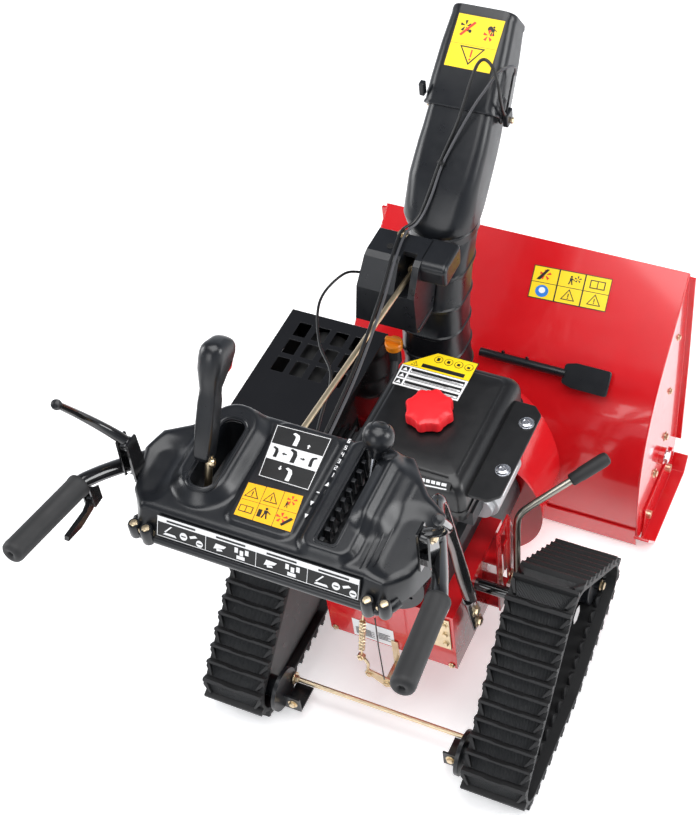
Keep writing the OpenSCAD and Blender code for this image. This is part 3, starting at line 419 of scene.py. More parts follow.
# ---------- decals ----------
class Decal:
    """Flat coloured shapes on a face. Local x and y are millimetres from one corner."""

    def __init__(self, name, corner, x_to, y_to, body, size, far=None, base=0.0):
        self.name, self.body, self.base = name, body, base
        self.o = Vector(corner)
        self.u = (Vector(x_to) - self.o) / size[0]
        self.v = (Vector(y_to) - self.o) / size[1]
        self.n = self.u.cross(self.v).normalized()
        self.w = (
            Vector(far) - Vector(x_to) - Vector(y_to) + self.o
        ) / (size[0] * size[1]) if far else Vector((0, 0, 0))
        self.verts, self.faces, self.inks, self.layer = [], [], [], 0

    def shape(self, points, ink, level=1):
        base = len(self.verts)
        self.layer += 1
        lift = self.base + 0.25 * level + 0.004 * self.layer
        self.verts += [self.o + self.u * x + self.v * y + self.w * x * y + self.n * lift for x, y in points]
        self.faces.append(tuple(range(base, base + len(points))))
        self.inks.append(ink)

    def rect(self, x, y, w, h, ink, level=1):
        self.shape([(x, y), (x + w, y), (x + w, y + h), (x, y + h)], ink, level)

    def frame(self, x, y, w, h, t, ink, level=2):
        self.rect(x, y, w, t, ink, level)
        self.rect(x, y + h - t, w, t, ink, level)
        self.rect(x, y, t, h, ink, level)
        self.rect(x + w - t, y, t, h, ink, level)

    def disc(self, x, y, r, ink, level=2, n=20):
        self.shape(
            [
                (x + r * math.cos(2 * math.pi * k / n), y + r * math.sin(2 * math.pi * k / n))
                for k in range(n)
            ],
            ink, level
        )

    def warning(self, x, y, s, ink="black", back="yellow"):
        """A triangle sign with a bar and a dot."""
        def tri(k, i, lv):
            self.shape(
                [(x - s * k, y - s * 0.58 * k), (x + s * k, y - s * 0.58 * k), (x, y + s * 1.15 * k)], i, lv
            )

        tri(1.0, ink, 2)
        tri(0.78, back, 3)
        self.rect(x - s * 0.07, y - s * 0.12, s * 0.14, s * 0.55, ink, 4)
        self.disc(x, y - s * 0.28, s * 0.09, ink, 4, 10)

    def person(self, x, y, s, ink="black"):
        self.disc(x, y + s * 0.8, s * 0.2, ink, 2, 12)
        self.shape(
            [
                (x - s * 0.22, y), (x + s * 0.22, y), (x + s * 0.26, y + s * 0.55),
                (x - s * 0.26, y + s * 0.55)
            ],
            ink, 2
        )
        self.shape(
            [(x - s * 0.22, y), (x - s * 0.02, y), (x - s * 0.2, y - s * 0.7), (x - s * 0.42, y - s * 0.7)],
            ink, 2
        )
        self.shape(
            [(x + s * 0.02, y), (x + s * 0.22, y), (x + s * 0.42, y - s * 0.7), (x + s * 0.2, y - s * 0.7)],
            ink, 2
        )
        self.shape(
            [
                (x + s * 0.2, y + s * 0.5), (x + s * 0.7, y + s * 0.2), (x + s * 0.66, y + s * 0.06),
                (x + s * 0.16, y + s * 0.34)
            ],
            ink, 2
        )

    def book(self, x, y, s, ink="black", back="yellow"):
        self.rect(x - s, y - s * 0.6, 2 * s, 1.2 * s, ink, 2)
        self.rect(x - s * 0.86, y - s * 0.46, 0.8 * s, 0.92 * s, back, 3)
        self.rect(x + s * 0.06, y - s * 0.46, 0.8 * s, 0.92 * s, back, 3)

    def rotor(self, x, y, s, ink="red"):
        for k in range(5):
            a = 2 * math.pi * k / 5
            pts = [
                (x + s * r * math.cos(a + t), y + s * r * math.sin(a + t))
                for r, t in ((0.2, 0), (1.0, 0.15), (0.9, 0.65), (0.25, 0.5))
            ]
            self.shape(pts, ink, 2)

    def arrow(self, x, y, s, angle, ink="white"):
        c, d = math.cos(angle), math.sin(angle)
        pts = [(-1, -0.3), (0.1, -0.3), (0.1, -0.8), (1, 0), (0.1, 0.8), (0.1, 0.3), (-1, 0.3)]
        self.shape([(x + s * (px * c - py * d), y + s * (px * d + py * c)) for px, py in pts], ink, 4)

    def chute(self, x, y, s, flip, ink, level=3):
        outline = [
            (-0.3, -1), (0.3, -1), (0.36, 0.2), (0.15, 0.75), (-0.5, 1.0), (-0.75, 0.75), (-0.25, 0.45),
            (-0.2, 0)
        ]
        self.shape(
            [(x + s * px * flip, y + s * py) for px, py in outline[:: 1 if flip > 0 else -1]], ink, level
        )

    def bars(self, x, y, w, h, rows, ink, level=2):
        for k in range(rows):
            self.rect(x, y + k * h * 1.9, w * (1.0 - 0.18 * (k % 2)), h, ink, level)

    def digit(self, x, y, h, n, ink="white", level=3):
        w, t = h * 0.55, h * 0.16
        bars = {
            "a": (0, h - t, w, t), "g": (0, h / 2 - t / 2, w, t), "d": (0, 0, w, t),
            "f": (0, h / 2, t, h / 2),
            "b": (w - t, h / 2, t, h / 2), "e": (0, 0, t, h / 2), "c": (w - t, 0, t, h / 2),
        }
        for k in {1: "bc", 2: "abged", 3: "abgcd", 4: "fgbc", 5: "afgcd", 6: "afgedc"}[n]:
            bx, by, bw, bh = bars[k]
            self.rect(x + bx, y + by, bw, bh, ink, level)

    def make(self):
        inks = sorted(set(self.inks))
        me = mesh_of(self.name, self.verts, self.faces)
        for ink in inks:
            me.materials.append(MATS[ink + "_ink"])
        for p, ink in zip(me.polygons, self.inks):
            p.material_index = inks.index(ink)
        obj = place(self.name, me)
        return settle(obj, self.body)


# ---------- CAD nodes kept, with rounded edges ----------
for node, width in {
    "main_frame": 2.0, "belt_cover": 3.0, "side_plates": 1.0, "impeller_drum": 1.2,
    "scraper_bar": 1.0, "skid_shoes": 1.5, "engine_block": 1.5, "recoil_cover": 2.5, "starter_motor": 2.0,
    "muffler_guard": 4.0, "engine_controls": 4.0, "lever_brackets": 0.8, "steering_trigger_left": 1.5,
    "steering_trigger_right": 1.5, "chute_rod": 0.8,
    "recoil_handle": 2.0, "drive_sprockets": 1.5, "rear_idlers": 1.5, "front_idlers": 1.5,
    "drive_axle": 1.0, "choke_knob": 1.5, "ignition_key": 1.0, "primer_button": 2.0,
}.items():
    soften(node, width)

# The muffler takes the near-black matte material: partly its own black, partly painted shade seen through
# the guard's holes.
soften("muffler", 2.0, mat="black_and_painted_shade")
soften("track_frames", 1.2, mat="black_plastic")

soften("auger_housing", 1.0)

# ---------- dash ----------
OUTLINE = [
    (-158, -245), (-204, -300), (-244, -326), (-256, -366), (-236, -440), (-206, -474),
    (206, -474), (236, -440), (256, -366), (244, -326), (204, -300), (158, -245),
]


def edge_rows(x):
    """Rear and front y of the dash outline at x."""
    ax = min(abs(x), 255.9)
    rear = [(0, -474), (206, -474), (236, -440), (256, -366)]
    front = [(0, -245), (158, -245), (204, -300), (244, -326), (256, -366)]

    def at(line):
        for (x0, y0), (x1, y1) in zip(line, line[1:]):
            if ax <= x1:
                return y0 + (y1 - y0) * (ax - x0) / (x1 - x0)
        return line[-1][1]

    return at(rear), at(front)


def box_distance(x, y, cx, cy, hx, hy, r):
    dx, dy = abs(x - cx) - hx + r, abs(y - cy) - hy + r
    return math.hypot(max(dx, 0), max(dy, 0)) + min(max(dx, dy), 0) - r


def hump(x, y, cx, cy, hx, hy, r, height, fall):
    t = 1 - max(0.0, min(1.0, box_distance(x, y, cx, cy, hx, hy, r) / fall))
    return height * t * t * (3 - 2 * t)


def outline_distance(x, y):
    best = 1e9
    for (x0, y0), (x1, y1) in zip(OUTLINE, OUTLINE[1:] + OUTLINE[:1]):
        dx, dy = x1 - x0, y1 - y0
        t = max(0.0, min(1.0, ((x - x0) * dx + (y - y0) * dy) / (dx * dx + dy * dy)))
        best = min(best, math.hypot(x - x0 - t * dx, y - y0 - t * dy))
    return best


def dash_height(x, y):
    z = 922 + (y + 474) * 0.05
    z += hump(x, y, -12, -354, 52, 97, 14, 5, 8)
    z += hump(x, y, -128, -345, 34, 82, 34, 22, 26)
    z += hump(x, y, 103, -356, 36, 100, 16, 13, 15)
    z += hump(x, y, 146, -336, 7, 48, 7, 17, 32)
    z -= hump(x, y, 208, -400, 18, 50, 16, 8, 30)
    z -= hump(x, y, -214, -400, 12, 40, 12, 8, 30)
    d = outline_distance(x, y)
    r = 15.0
    if d < r:
        z -= (r - math.sqrt(max(0.0, r * r - (r - d) ** 2))) * 0.8
    return z


def make_dash():
    columns, rows = 150, 74
    verts, faces = [], []
    for i in range(columns + 1):
        x = -255.5 + 511 * i / columns
        rear, front = edge_rows(x)
        for j in range(rows + 1):
            t = 0.5 - 0.5 * math.cos(math.pi * j / rows)
            t = 0.55 * t + 0.45 * j / rows
            y = rear + (front - rear) * t
            verts.append((x, y, dash_height(x, y)))
    n = rows + 1
    for i in range(columns):
        for j in range(rows):
            faces.append((i * n + j, (i + 1) * n + j, (i + 1) * n + j + 1, i * n + j + 1))
    rim = [i * n for i in range(columns + 1)] + [columns * n + j for j in range(1, n)]
    rim += [i * n + rows for i in range(columns - 1, -1, -1)] + [j for j in range(rows - 1, 0, -1)]
    for z, back in ((884, -490), (864, -491)):
        low = len(verts)
        for k in rim:
            x, y, _ = verts[k]
            t = max(0.0, min(1.0, (236 - abs(x)) / 30)) if y < -430 else 0.0
            verts.append((x, y + (back + 474) * t, z))
        first = rim if z == 884 else list(range(low - len(rim), low))
        for k in range(len(rim)):
            q = (k + 1) % len(rim)
            faces.append((first[q], first[k], low + k, low + q))
    dash = piece("dash_shell", verts, faces, replaced=["dash_panel"], smooth=60)
    solid = dash.modifiers.new("wall", "SOLIDIFY")
    solid.thickness = 3.5 * MM
    solid.offset = -1
    for cx, cy, hx, hy, r in ((-124, -357, 20, 67, 16), (101, -355, 15, 91, 6)):
        ring = rounded(corners(cx, cy, hx, hy), r, 6)
        cut_away(dash, [[(*p, z) for p in ring] for z in (850, 1010)])
    bake(dash)


def cut_away(obj, rings):
    """Cuts the solid between two rings out of a piece; bake applies it."""
    m = len(rings[0])
    verts = [v for r in rings for v in r]
    faces = [(j, (j + 1) % m, m + (j + 1) % m, m + j) for j in range(m)]
    faces += [tuple(range(m - 1, -1, -1)), tuple(range(m, 2 * m))]
    me = mesh_of("cutter", verts, faces)
    bm = bmesh.new()
    bm.from_mesh(me)
    bmesh.ops.recalc_face_normals(bm, faces=bm.faces)
    bm.to_mesh(me)
    bm.free()
    mod = obj.modifiers.new("cut", "BOOLEAN")
    mod.object = place("cutter", me)
    mod.operation = "DIFFERENCE"


def bake(obj, degrees=50):
    """Applies a piece's modifiers and removes the cutters they used."""
    cutters = {m.object for m in obj.modifiers if m.type == "BOOLEAN"}
    bpy.context.view_layer.update()
    graph = bpy.context.evaluated_depsgraph_get()
    me = bpy.data.meshes.new_from_object(obj.evaluated_get(graph))
    obj.modifiers.clear()
    obj.data = me
    sharpen(me, degrees)
    for c in cutters:
        bpy.data.objects.remove(c)


make_dash()


def lip(name, cx, cy, hx, hy, r, thick):
    """A raised rim around a slot."""
    ring = rounded(corners(cx, cy, hx, hy), r, 8)
    line = [(x, y, dash_height(x, y) - thick * 0.3) for x, y in ring]
    tube(name, line + line[:2], thick, sides=10, cap=False)


def well(name, cx, cy, hx, hy, r, top, hole, back=0):
    """Slot walls down to a floor with a smaller hole: (x, y, half x, half y); the foot reaches back."""
    low_y, low_hy = cy - back / 2, hy + back / 2
    rings = []
    hcx, hcy, hhx, hhy = hole
    for z, ax, ay, bx, by in (
        (top, cx, cy, hx, hy), (882, cx, low_y, hx, low_hy), (880, hcx, hcy, hhx, hhy),
        (877, hcx, hcy, hhx, hhy),
        (877, cx, low_y, hx + 2, low_hy + 2), (top, cx, cy, hx + 2, hy + 2), (top, cx, cy, hx, hy),
    ):
        ring = rounded(corners(ax, ay, bx, by), min(r, bx - 1), 6)
        rings.append([(*p, z) for p in ring])
    loft(name, rings, cap=False)


well("joystick_well", -124, -357, 20.5, 67.5, 16, 945, (-124, -403, 13, 34), back=13)
block("joystick_tray", (-178, -464, 822), (-98, -320, 826), bevel=1.5)
well("speed_well", 101, -355, 15.5, 91.5, 6, 937, (103, -355, 6, 86))
lip("joystick_rim", -124, -357, 25, 72, 20, 3)
lip("speed_rim", 101, -355, 18.5, 94.5, 7, 1.6)
for k in range(3):
    line = [
        (164 + 8 * k, y, dash_height(164 + 8 * k, y) + 0.4)
        for y in range(-462 + 6 * k, -392 + 8 * k, 8)
    ]
    tube(f"wing_rib_{k}", line, 1.3, sides=8)
tube(
    "dash_lip",
    spline(
        [
            (-222, -464, 872), (-206, -486, 872), (-150, -489, 872), (150, -489, 872), (206, -486, 872),
            (222, -464, 872)
        ],
        6
    ),
    9
)
for sx, side in SIDES:
    for k, (x, y, z) in enumerate(((187, -494, 901), (212, -489, 897))):
        at = (sx * x, y, 866)
        lathe(
            f"dash_boss_{side}{k}",
            [
                (0, 0), (9.5, 0), (10.5, 3), (10.5, z - 872), (9, z - 869), (7.4, z - 869), (7.4, z - 871),
                (0, z - 871)
            ],
            at, (0, 0, 1)
        )
        lathe(
            f"dash_screw_{side}{k}", [(0, 0), (6.6, 0), (6.6, 2.4), (5.6, 3.6), (0, 4.2)],
            (sx * x, y, z - 5.2), (0, 0, 1), "zinc"
        )
# Detent gate beside the speed lever
for k in range(9):
    y = -440 + 19 * k
    block(
        f"speed_gate_{k}", (86, y, 905 - 2 * (k % 3)), (94 + 2 * (k % 2), y + 8, 929 + 0.8 * k), bevel=1.2
    )

# ---------- fuel tank ----------
TANK = [(-86, -66), (-76, -76), (140, -76), (150, -66), (150, 206), (138, 216), (-16, 216), (-86, 158)]


def tank_ring(inset, z, r=18):
    k = [(1 - inset / 118), (1 - inset / 146)]
    return [(*p, z) for p in rounded([(32 + (x - 32) * k[0], 70 + (y - 70) * k[1]) for x, y in TANK], r, 5)]


loft(
    "tank_shell",
    [tank_ring(i, z, r) for i, z, r in (
        (16, 536, 12), (6, 541, 16), (1, 548, 18), (0, 566, 18), (-3, 567, 18), (-3, 573, 18), (0, 574, 18),
        (0, 606, 20),
        (1.5, 616, 20), (5, 625, 20), (11, 632, 20), (18, 636, 20), (22, 636.6, 20), (24, 638.6, 20),
        (28, 640, 20), (60, 641, 20),
    )],
    "tank", "machine", slot="black_gloss", replaced=["fuel_tank"],
)
flange = rounded([(140, -56), (188, -56), (206, -38), (206, 160), (188, 178), (140, 178)], 8, 4)
loft("tank_flange", [[(*p, z) for p in flange] for z in (602, 608)], "tank", slot="black_gloss", bevel=1.2)
for k, y in enumerate((16, 132)):
    lathe(
        f"tank_washer_{k}", [(0, 0), (14, 0), (14.4, 0.8), (14, 2), (0, 2)], (188, y, 608), (0, 0, 1),
        "steel"
    )
    lathe(
        f"tank_bolt_{k}",
        [(0, 0), (11, 0), (11.6, 1.2), (11.2, 3.2), (9, 4.6), (5.6, 4.6), (4.4, 3.2), (0, 3.2)],
        (188, y, 610), (0, 0, 1), "steel"
    )
lathe(
    "tank_neck", [(0, 0), (27, 0), (27, 3), (25, 5), (25, 10), (0, 10)], (31, 63, 640), (0, 0, 1), "steel"
)

rings = []
for z, r in ((646, 40.5), (647.5, 42), (664, 42), (668, 40.5), (670, 37), (670.6, 30), (671.2, 12)):
    ring = []
    for k in range(96):
        a = 2 * math.pi * k / 96
        reach = r + 3.4 * max(-0.4, math.cos(8 * a)) * min(1.0, r / 37)
        ring.append((31 + reach * math.cos(a), 63 + reach * math.sin(a), z))
    rings.append(ring)
loft("fuel_cap_skin", rings, "red_plastic", "fuel_cap", replaced=["fuel_cap"])

# ---------- oil filler ----------
lathe(
    "oil_cap_skin",
    [(0, 0), (15, 0), (16.5, 1.5), (16.5, 9), (17.5, 10), (17.5, 14), (15.5, 16.5), (0, 17)],
    (-121, 238, 592.6), (0, 0, 1), "orange", "oil_cap", replaced=["oil_cap"]
)
block("oil_cap_wing", (-138, 233, 604), (-104, 243, 618), "orange", "oil_cap", bevel=3.5, segments=4)

# ---------- chute ----------
CHUTE_X = -65


def ring_at(plan, at, lean):
    c, s = math.cos(math.radians(lean)), math.sin(math.radians(lean))
    return [(at[0] + x, at[1] + y * c, at[2] - y * s) for x, y in plan]


def rect_plan(w, d, r, n=8):
    return rounded(corners(0, 0, w / 2, d / 2), min(r, w / 2 - 0.5, d / 2 - 0.5), n)


def column_at(z):
    return (CHUTE_X, 310 + (400 * (1 - math.cos(math.asin((z - 570) / 400))) if z > 570 else 0), z)


seams = [440, 500, 560, 620, 680, 740, 800]
rings = []
for z0, z1 in zip([400] + seams, seams):
    for t, grow in ((0.0, 0.2), (0.04, 2.2), (0.12, 2.6), (0.16, 0.6), (0.5, 0), (0.97, -0.2)):
        z = z0 + (z1 - z0) * t
        rings.append(ring_at(rect_plan(122 + 2 * grow, 118 + 2 * grow, 46), column_at(z), 0))
rings.append(ring_at(rect_plan(121, 117, 46), column_at(799.5), 0))
rings += [ring_at(rect_plan(114, 110, 43), column_at(z), 0) for z in (799.5, 700, 600, 500, 400)]
rings.append(rings[0])
loft("column_skin", rings, cap=False, replaced=["chute_column"])

TURN_Y = column_at(800)[1]
STATIONS = [
    (0, 0, 130, 130, 64, 0), (14, 0, 130, 130, 64, 0), (16, 1, 126, 126, 60, 1), (19, 3, 134, 128, 56, 3),
    (30, 10, 137, 124, 42, 10), (76, 46, 137, 110, 28, 32), (116, 83, 134, 102, 24, 41),
    (173, 141.4, 124, 98, 20, 45)
]


def sideways(h):
    """The wide part of the chute sits a little to the left."""
    return 3 * max(0.0, min((h - 16) / 14, (130 - h) / 54, 1.0))


def between(stations, steps):
    out = []
    for a, b in zip(stations, stations[1:]):
        out += [tuple(p + (q - p) * k / steps for p, q in zip(a, b)) for k in range(steps)]
    return out + [stations[-1]]


rings = []
for h, fwd, w, d, r, lean in between(STATIONS, 3):
    rings.append(ring_at(rect_plan(w, d, r), (CHUTE_X - sideways(h), TURN_Y + fwd, 800.8 + h), lean))
inner = []
for h, fwd, w, d, r, lean in between(STATIONS, 3)[::-1]:
    inner.append(
        ring_at(rect_plan(w - 6, d - 6, r - 3), (CHUTE_X - sideways(h), TURN_Y + fwd, 800.8 + h), lean)
    )
loft("chute_skin", rings + inner + rings[:1], "black_plastic", "chute", cap=False, replaced=["chute_upper"])

HINGE = Vector((CHUTE_X, 517, 967))
DEFLECTOR = [
    (474, 1000, 146, 88, 45, 6), (476, 1003, 146, 88, 45, 6), (479, 1006, 141, 88, 45, 4),
    (507, 1035, 138, 88, 46, 4), (556, 1079, 132, 82, 49, 4), (600, 1114.5, 123, 73, 52, 4),
    (604, 1117.5, 125, 74, 52, 6), (610, 1122, 123, 73, 52, 6), (612, 1123.5, 118, 70, 52, 5)
]


def channel(w, d, t, n=8):
    r = 22
    left = [
        (-w / 2 + r + (r - t) * math.cos(a), r + (r - t) * math.sin(a))
        for a in (math.pi * (1 + 0.5 * k / n) for k in range(n + 1))
    ]
    right = [
        (w / 2 - r + (r - t) * math.cos(a), r + (r - t) * math.sin(a))
        for a in (math.pi * (1.5 + 0.5 * k / n) for k in range(n + 1))
    ]
    return [(t - w / 2, d)] + left + right + [(w / 2 - t, d)]


rings = []
for y, z, w, d, lean, t in DEFLECTOR:
    out = ring_at(channel(w, d, 0), (CHUTE_X, y, z), lean)
    inn = ring_at(channel(w, d, t), (CHUTE_X, y, z), lean)
    rings.append(out + inn[::-1])
loft("deflector_skin", rings, "black_plastic", "deflector", replaced=["deflector"], bevel=0.8)
for sx, side in SIDES:
    x = CHUTE_X + sx * 68.5
    ear = [
        (HINGE.y + 15 * math.cos(a), HINGE.z + 15 * math.sin(a))
        for a in (math.radians(160 + 14 * k) for k in range(11))
    ]
    ear += [(552, 966), (520, 1012), (499, 1002)]
    loft(f"deflector_ear_{side}", across(ear, x - 3, x + 3), "black_plastic", "deflector", bevel=1.5)
block("deflector_stop", (-144, 484, 1003), (-134, 497, 1030), "black_plastic", "deflector", bevel=2)
lathe(
    "hinge_pin_L", [(0, 0), (9, 0), (9, 3), (5, 4.5), (0, 5)], (-139, 517, 967), (-1, 0, 0), "zinc", "chute"
)
block("hinge_block", (8.4, 503, 953), (19, 529, 981), "black_plastic", "chute", bevel=2.5)
bolt("hinge_bolt", (19, 517, 961), (1, 0, 0), 6, "chute", washer=False)
arm = [(511, 975), (525, 967), (565, 1023), (553, 1035)]
loft("cable_arm", across(arm, 10, 14), "black_gloss", "chute", bevel=1.0)

# ---------- chute gear cover ----------
COVER = [
    (190, 704), (262, 700), (292, 760), (300, 800), (300, 838), (292, 846), (234, 846), (222, 840),
    (190, 790)
]


def slanted(x, z):
    return x + (z - 704) * 0.12 if x < -120 else x


cover = loft(
    "gear_cover_skin", [[(slanted(x, z), y, z) for y, z in COVER] for x in (-168, -44)],
    replaced=["chute_gearbox"]
)
for (x0, x1), (y0, y1), heights in (
    ((-84, -57), (180, 249), (789, 852)), ((-83.5, -57.5), (240, 290), (786, 834))
):
    cut_away(cover, [[(x0, y0, z), (x1, y0, z), (x1, y1, z), (x0, y1, z)] for z in heights])
bake(cover, 30)
bm = bmesh.new()
bm.from_mesh(cover.data)
bmesh.ops.triangulate(bm, faces=bm.faces)
bm.to_mesh(cover.data)
bm.free()
add_bevel(cover, 7, 5, 25)
loft(
    "gear_cover_nose",
    across(((226, 800), (296, 800), (300, 822), (300, 846), (240, 846), (226, 838)), -54, 5), bevel=8,
    segments=5
)
loft(
    "gear_cover_foot", across(((196, 700), (258, 697), (262, 708), (192, 712)), -166, -42), bevel=3,
    segments=3
)
bolt("cover_bolt", (-104, 290, 846), (0, 0, 1), 7)
# A shallow socket on the cover top, drawn in the near-black matte material as painted shade of a hole.
lathe(
    "cover_socket_shade", [(0, 0), (7, 0), (7, 1.2), (4, 1.2), (4, 0.6), (0, 0.6)], (-112, 252, 846.2), (0, 0, 1),
    "black_and_painted_shade", slot="black_plastic"
)

# ---------- handle tubes and grips ----------
FOOT_LEAN = 0.26
FOOT = (
    (152, -62, 222, 4), (152.4, -64, 230, 5), (155, -80, 292, 5), (157, -93, 340, 8), (158, -99, 362, 12.6)
)
for sx, side in SIDES:
    path = [
        (157.5, -96, 352), (160, -112, 412), (166, -150, 560), (183, -206, 709), (198, -256, 845),
        (206, -282, 868), (250, -371, 904), (290, -458, 940), (303, -504, 949), (315, -642, 964.3)
    ]
    tube(
        f"handle_tube_{side}", spline([(sx * x, y, z) for x, y, z in path], 6), 12.5, "black_gloss",
        sides=28, replaced=["handle_tubes"] if sx < 0 else ()
    )
    flat = []
    for x, y, z, w in FOOT:
        turns = [2 * math.pi * j / 28 for j in range(28)]
        lean_y, lean_z = math.cos(FOOT_LEAN), math.sin(FOOT_LEAN)
        flat.append(
            [
                (sx * (x + w * math.cos(t)), y + 17 * math.sin(t) * lean_y, z + 17 * math.sin(t) * lean_z)
                for t in turns
            ]
        )
    loft(f"handle_foot_{side}", flat, "black_gloss", bevel=0.6)
    a, b = Vector((sx * 299.5, -485, 945.6)), Vector((sx * 316.2, -650, 965.4))
    d = (b - a).normalized()
    length = (b - a).length
    profile = [(12.7, -2), (19, 0), (19.6, 2), (19.6, 7), (18.6, 9)]
    profile += [
        (18.6, length - 18), (18.9, length - 12), (18.6, length - 8), (17.4, length - 4),
        (15, length - 1.4), (11.5, length), (7.5, length - 0.4), (5, length - 2), (3.4, length - 5),
        (0, length - 5)
    ]
    lathe(
        f"grip_{side}", profile, a, d, "rubber", sides=48, cap=False, replaced=["grips"] if sx < 0 else ()
    )
    for k, (z, y) in enumerate(((240, -66), (296, -81))):
        bolt(f"handle_bolt_{side}{k}", (sx * (157.2 if k == 0 else 160), y, z), (sx, 0, 0), 9)

# ---------- bail levers ----------
for sx, body in ((-1, "auger_lever"), (1, "drive_lever")):
    pts = spline(
        [
            (sx * 251, -409, 984), (sx * 272, -413, 1002), (sx * 290, -422, 1026), (sx * 302, -440, 1062),
            (sx * 305, -470, 1114)
        ],
        8
    )
    width = [9 - 3.6 * abs(i / (len(pts) - 1) - 0.15) for i in range(len(pts))]
    tube(body + "_skin", pts, width, "black_gloss", body, sides=16, replaced=[body])
    lathe(
        body + "_hub", [(6.1, -6), (12, -6), (12.4, -4), (12.4, 4), (12, 6), (6.1, 6), (6.1, -6)],
        (sx * 251, -409, 978), (1, 0, 0), "black_gloss", body, cap=False
    )
    lathe(
        body + "_tip", [(0, 0), (7, 1.5), (8.4, 6), (8.4, 9), (7, 13), (0, 15)], (sx * 305, -466, 1106),
        (0, -0.5, 0.87), "black_plastic", body
    )
    bolt(body + "_pivot", (sx * 262, -409, 978), (sx, 0, 0), 7)

# ---------- joystick ----------
JOY = Vector((-124, -430, 850))
LEAN = Matrix.Rotation(math.radians(-24), 3, "X")


def joy(x, y, z):
    return JOY + LEAN @ Vector((x, y, z))


lathe(
    "joystick_stem", [(0, 4), (6, 6), (6, 128), (0, 130)], JOY, LEAN @ Vector((0, 0, 1)), "zinc",
    "joystick", slot="zinc"
)
lathe("joystick_hub", hub(5.1, 11, -9, 9), JOY, (1, 0, 0), "zinc", "joystick", cap=False, slot="zinc")
lathe(
    "joystick_eye", [(3.5, -4.5), (7, -4), (7.8, 0), (7, 4), (3.5, 4.5), (3.5, -4.5)], joy(7, -3, 119),
    (1, 0.3, 0), "zinc", "joystick", cap=False, slot="zinc"
)
rings = []
for h, w, d, y in (
    (118, 18, 18, 0), (122, 25, 26, 0), (128, 28, 30, 0), (180, 31, 33, 0), (222, 30, 32, -1),
    (232, 28, 30, -2), (244, 29, 33, -2), (262, 34, 46, 0), (280, 39, 60, 3), (298, 41, 67, 6),
    (308, 40, 65, 6), (315, 36, 58, 5), (320, 28, 46, 3), (323, 16, 28, 1),
):
    side = -9 + 11 * (h - 122) / 190
    round_by = 0.2 if h < 240 else 0.34 + (h - 240) * 0.0015
    rings.append([joy(x + side, yy + y, h) for x, yy in rect_plan(w, d, min(w, d) * round_by, 5)])
loft("joystick_skin", rings, "black_plastic", "joystick", replaced=["joystick"], smooth=60)
rings = []
for h, w, d in ((262, 14, 10), (266, 17, 14), (298, 17, 16), (303, 13, 12)):
    rings.append([joy(x + 4, 26 + yy + (h - 262) * 0.25, h) for x, yy in rect_plan(w, d + 8, 5, 4)])
loft("trigger_skin", rings, "red_plastic", "joystick_trigger", replaced=["joystick_trigger"], smooth=50)

# ---------- speed lever ----------
PIVOT = Vector((97, -360, 790))
TILT = Matrix.Rotation(math.radians(-27), 3, "X") @ Matrix.Rotation(math.radians(3.5), 3, "Y")


def stick(x, y, z):
    return PIVOT + TILT @ Vector((x, y, z))


loft(
    "speed_arm", [[stick(x, y, z) for x, y in rect_plan(6, 16, 2, 3)] for z in (10, 190)], "steel",
    "speed_lever", slot="steel"
)
lathe("speed_hub", hub(6.1, 13, -9, 11), PIVOT, (1, 0, 0), "steel", "speed_lever", cap=False, slot="steel")
up = TILT @ Vector((0, 0, 1))
lathe(
    "speed_knob",
    [
        (0, 176), (9, 177), (11, 182), (13, 190), (20, 196), (24, 204), (25, 212), (24, 220), (20, 228),
        (14.5, 231.5), (14, 231), (13.6, 230.2), (13, 231.4), (8, 233), (0, 233.6)
    ],
    PIVOT, up, "black_plastic", "speed_lever", sides=48, replaced=["speed_lever"], smooth=60
)

# ---------- track lever and clean-out tool ----------
LEVER = [
    (176, 86, 202), (176, 92, 300), (176.5, 96, 352), (180, 104, 372), (196, 124, 384), (250, 187.8, 406.1),
    (292, 236, 424)
]
tube(
    "track_lever_rod", spline(LEVER, 6), 7, "olive_zinc", "track_lever", sides=24, slot="zinc",
    replaced=["track_lever"]
)
lathe("track_lever_hub", hub(6.1, 16, -8, 8), (176, 84, 190), (1, 0, 0), "zinc", "track_lever", cap=False)
a, b = Vector((250, 187.8, 406.1)), Vector((304, 249.8, 429.1))
length = (b - a).length
lathe(
    "track_lever_grip",
    [
        (7, 0), (11, 1), (12.5, 4), (12.5, 18), (13.6, 26), (14, length - 12), (12, length - 3),
        (7, length), (0, length)
    ],
    a, b - a, "rubber", "track_lever", sides=32
)
bolt("track_lever_pivot", (188, 84, 190), (1, 0, 0), 9)

TOOL_Y, TOOL_Z = 451, 397
tube(
    "cleanout_handle", spline([(x, TOOL_Y, TOOL_Z) for x in (-40, 20, 80, 144)], 4), 9, "black_plastic",
    "cleanout_tool", replaced=["cleanout_tool"]
)
tip = Matrix.Rotation(math.radians(44), 3, "X")
blade = []
for z, g in ((-5, -1.5), (-3.5, 0), (1.5, 0), (3, -1.5)):
    plan = rounded(
        [(0, -20 - g), (22, -26 - g), (96 + g, -26 - g), (96 + g, 26 + g), (22, 26 + g), (0, 20 + g)], 6, 4
    )
    blade.append([Vector((140, TOOL_Y, TOOL_Z)) + tip @ Vector((x, y, z)) for x, y in plan])
loft("cleanout_blade", blade, "black_plastic", "cleanout_tool")
for k, x in enumerate((0, 52)):
    loft(f"tool_clip_{k}", across(((461, 378), (470, 386), (463, 394), (454, 386)), x, x + 14), bevel=1.5)
    tube(
        f"tool_hook_{k}",
        [
            (x + 7, TOOL_Y + 12 * math.cos(a), TOOL_Z + 12 * math.sin(a))
            for a in (math.radians(-60 + 16 * j) for j in range(9))
        ],
        2.4, sides=10
    )

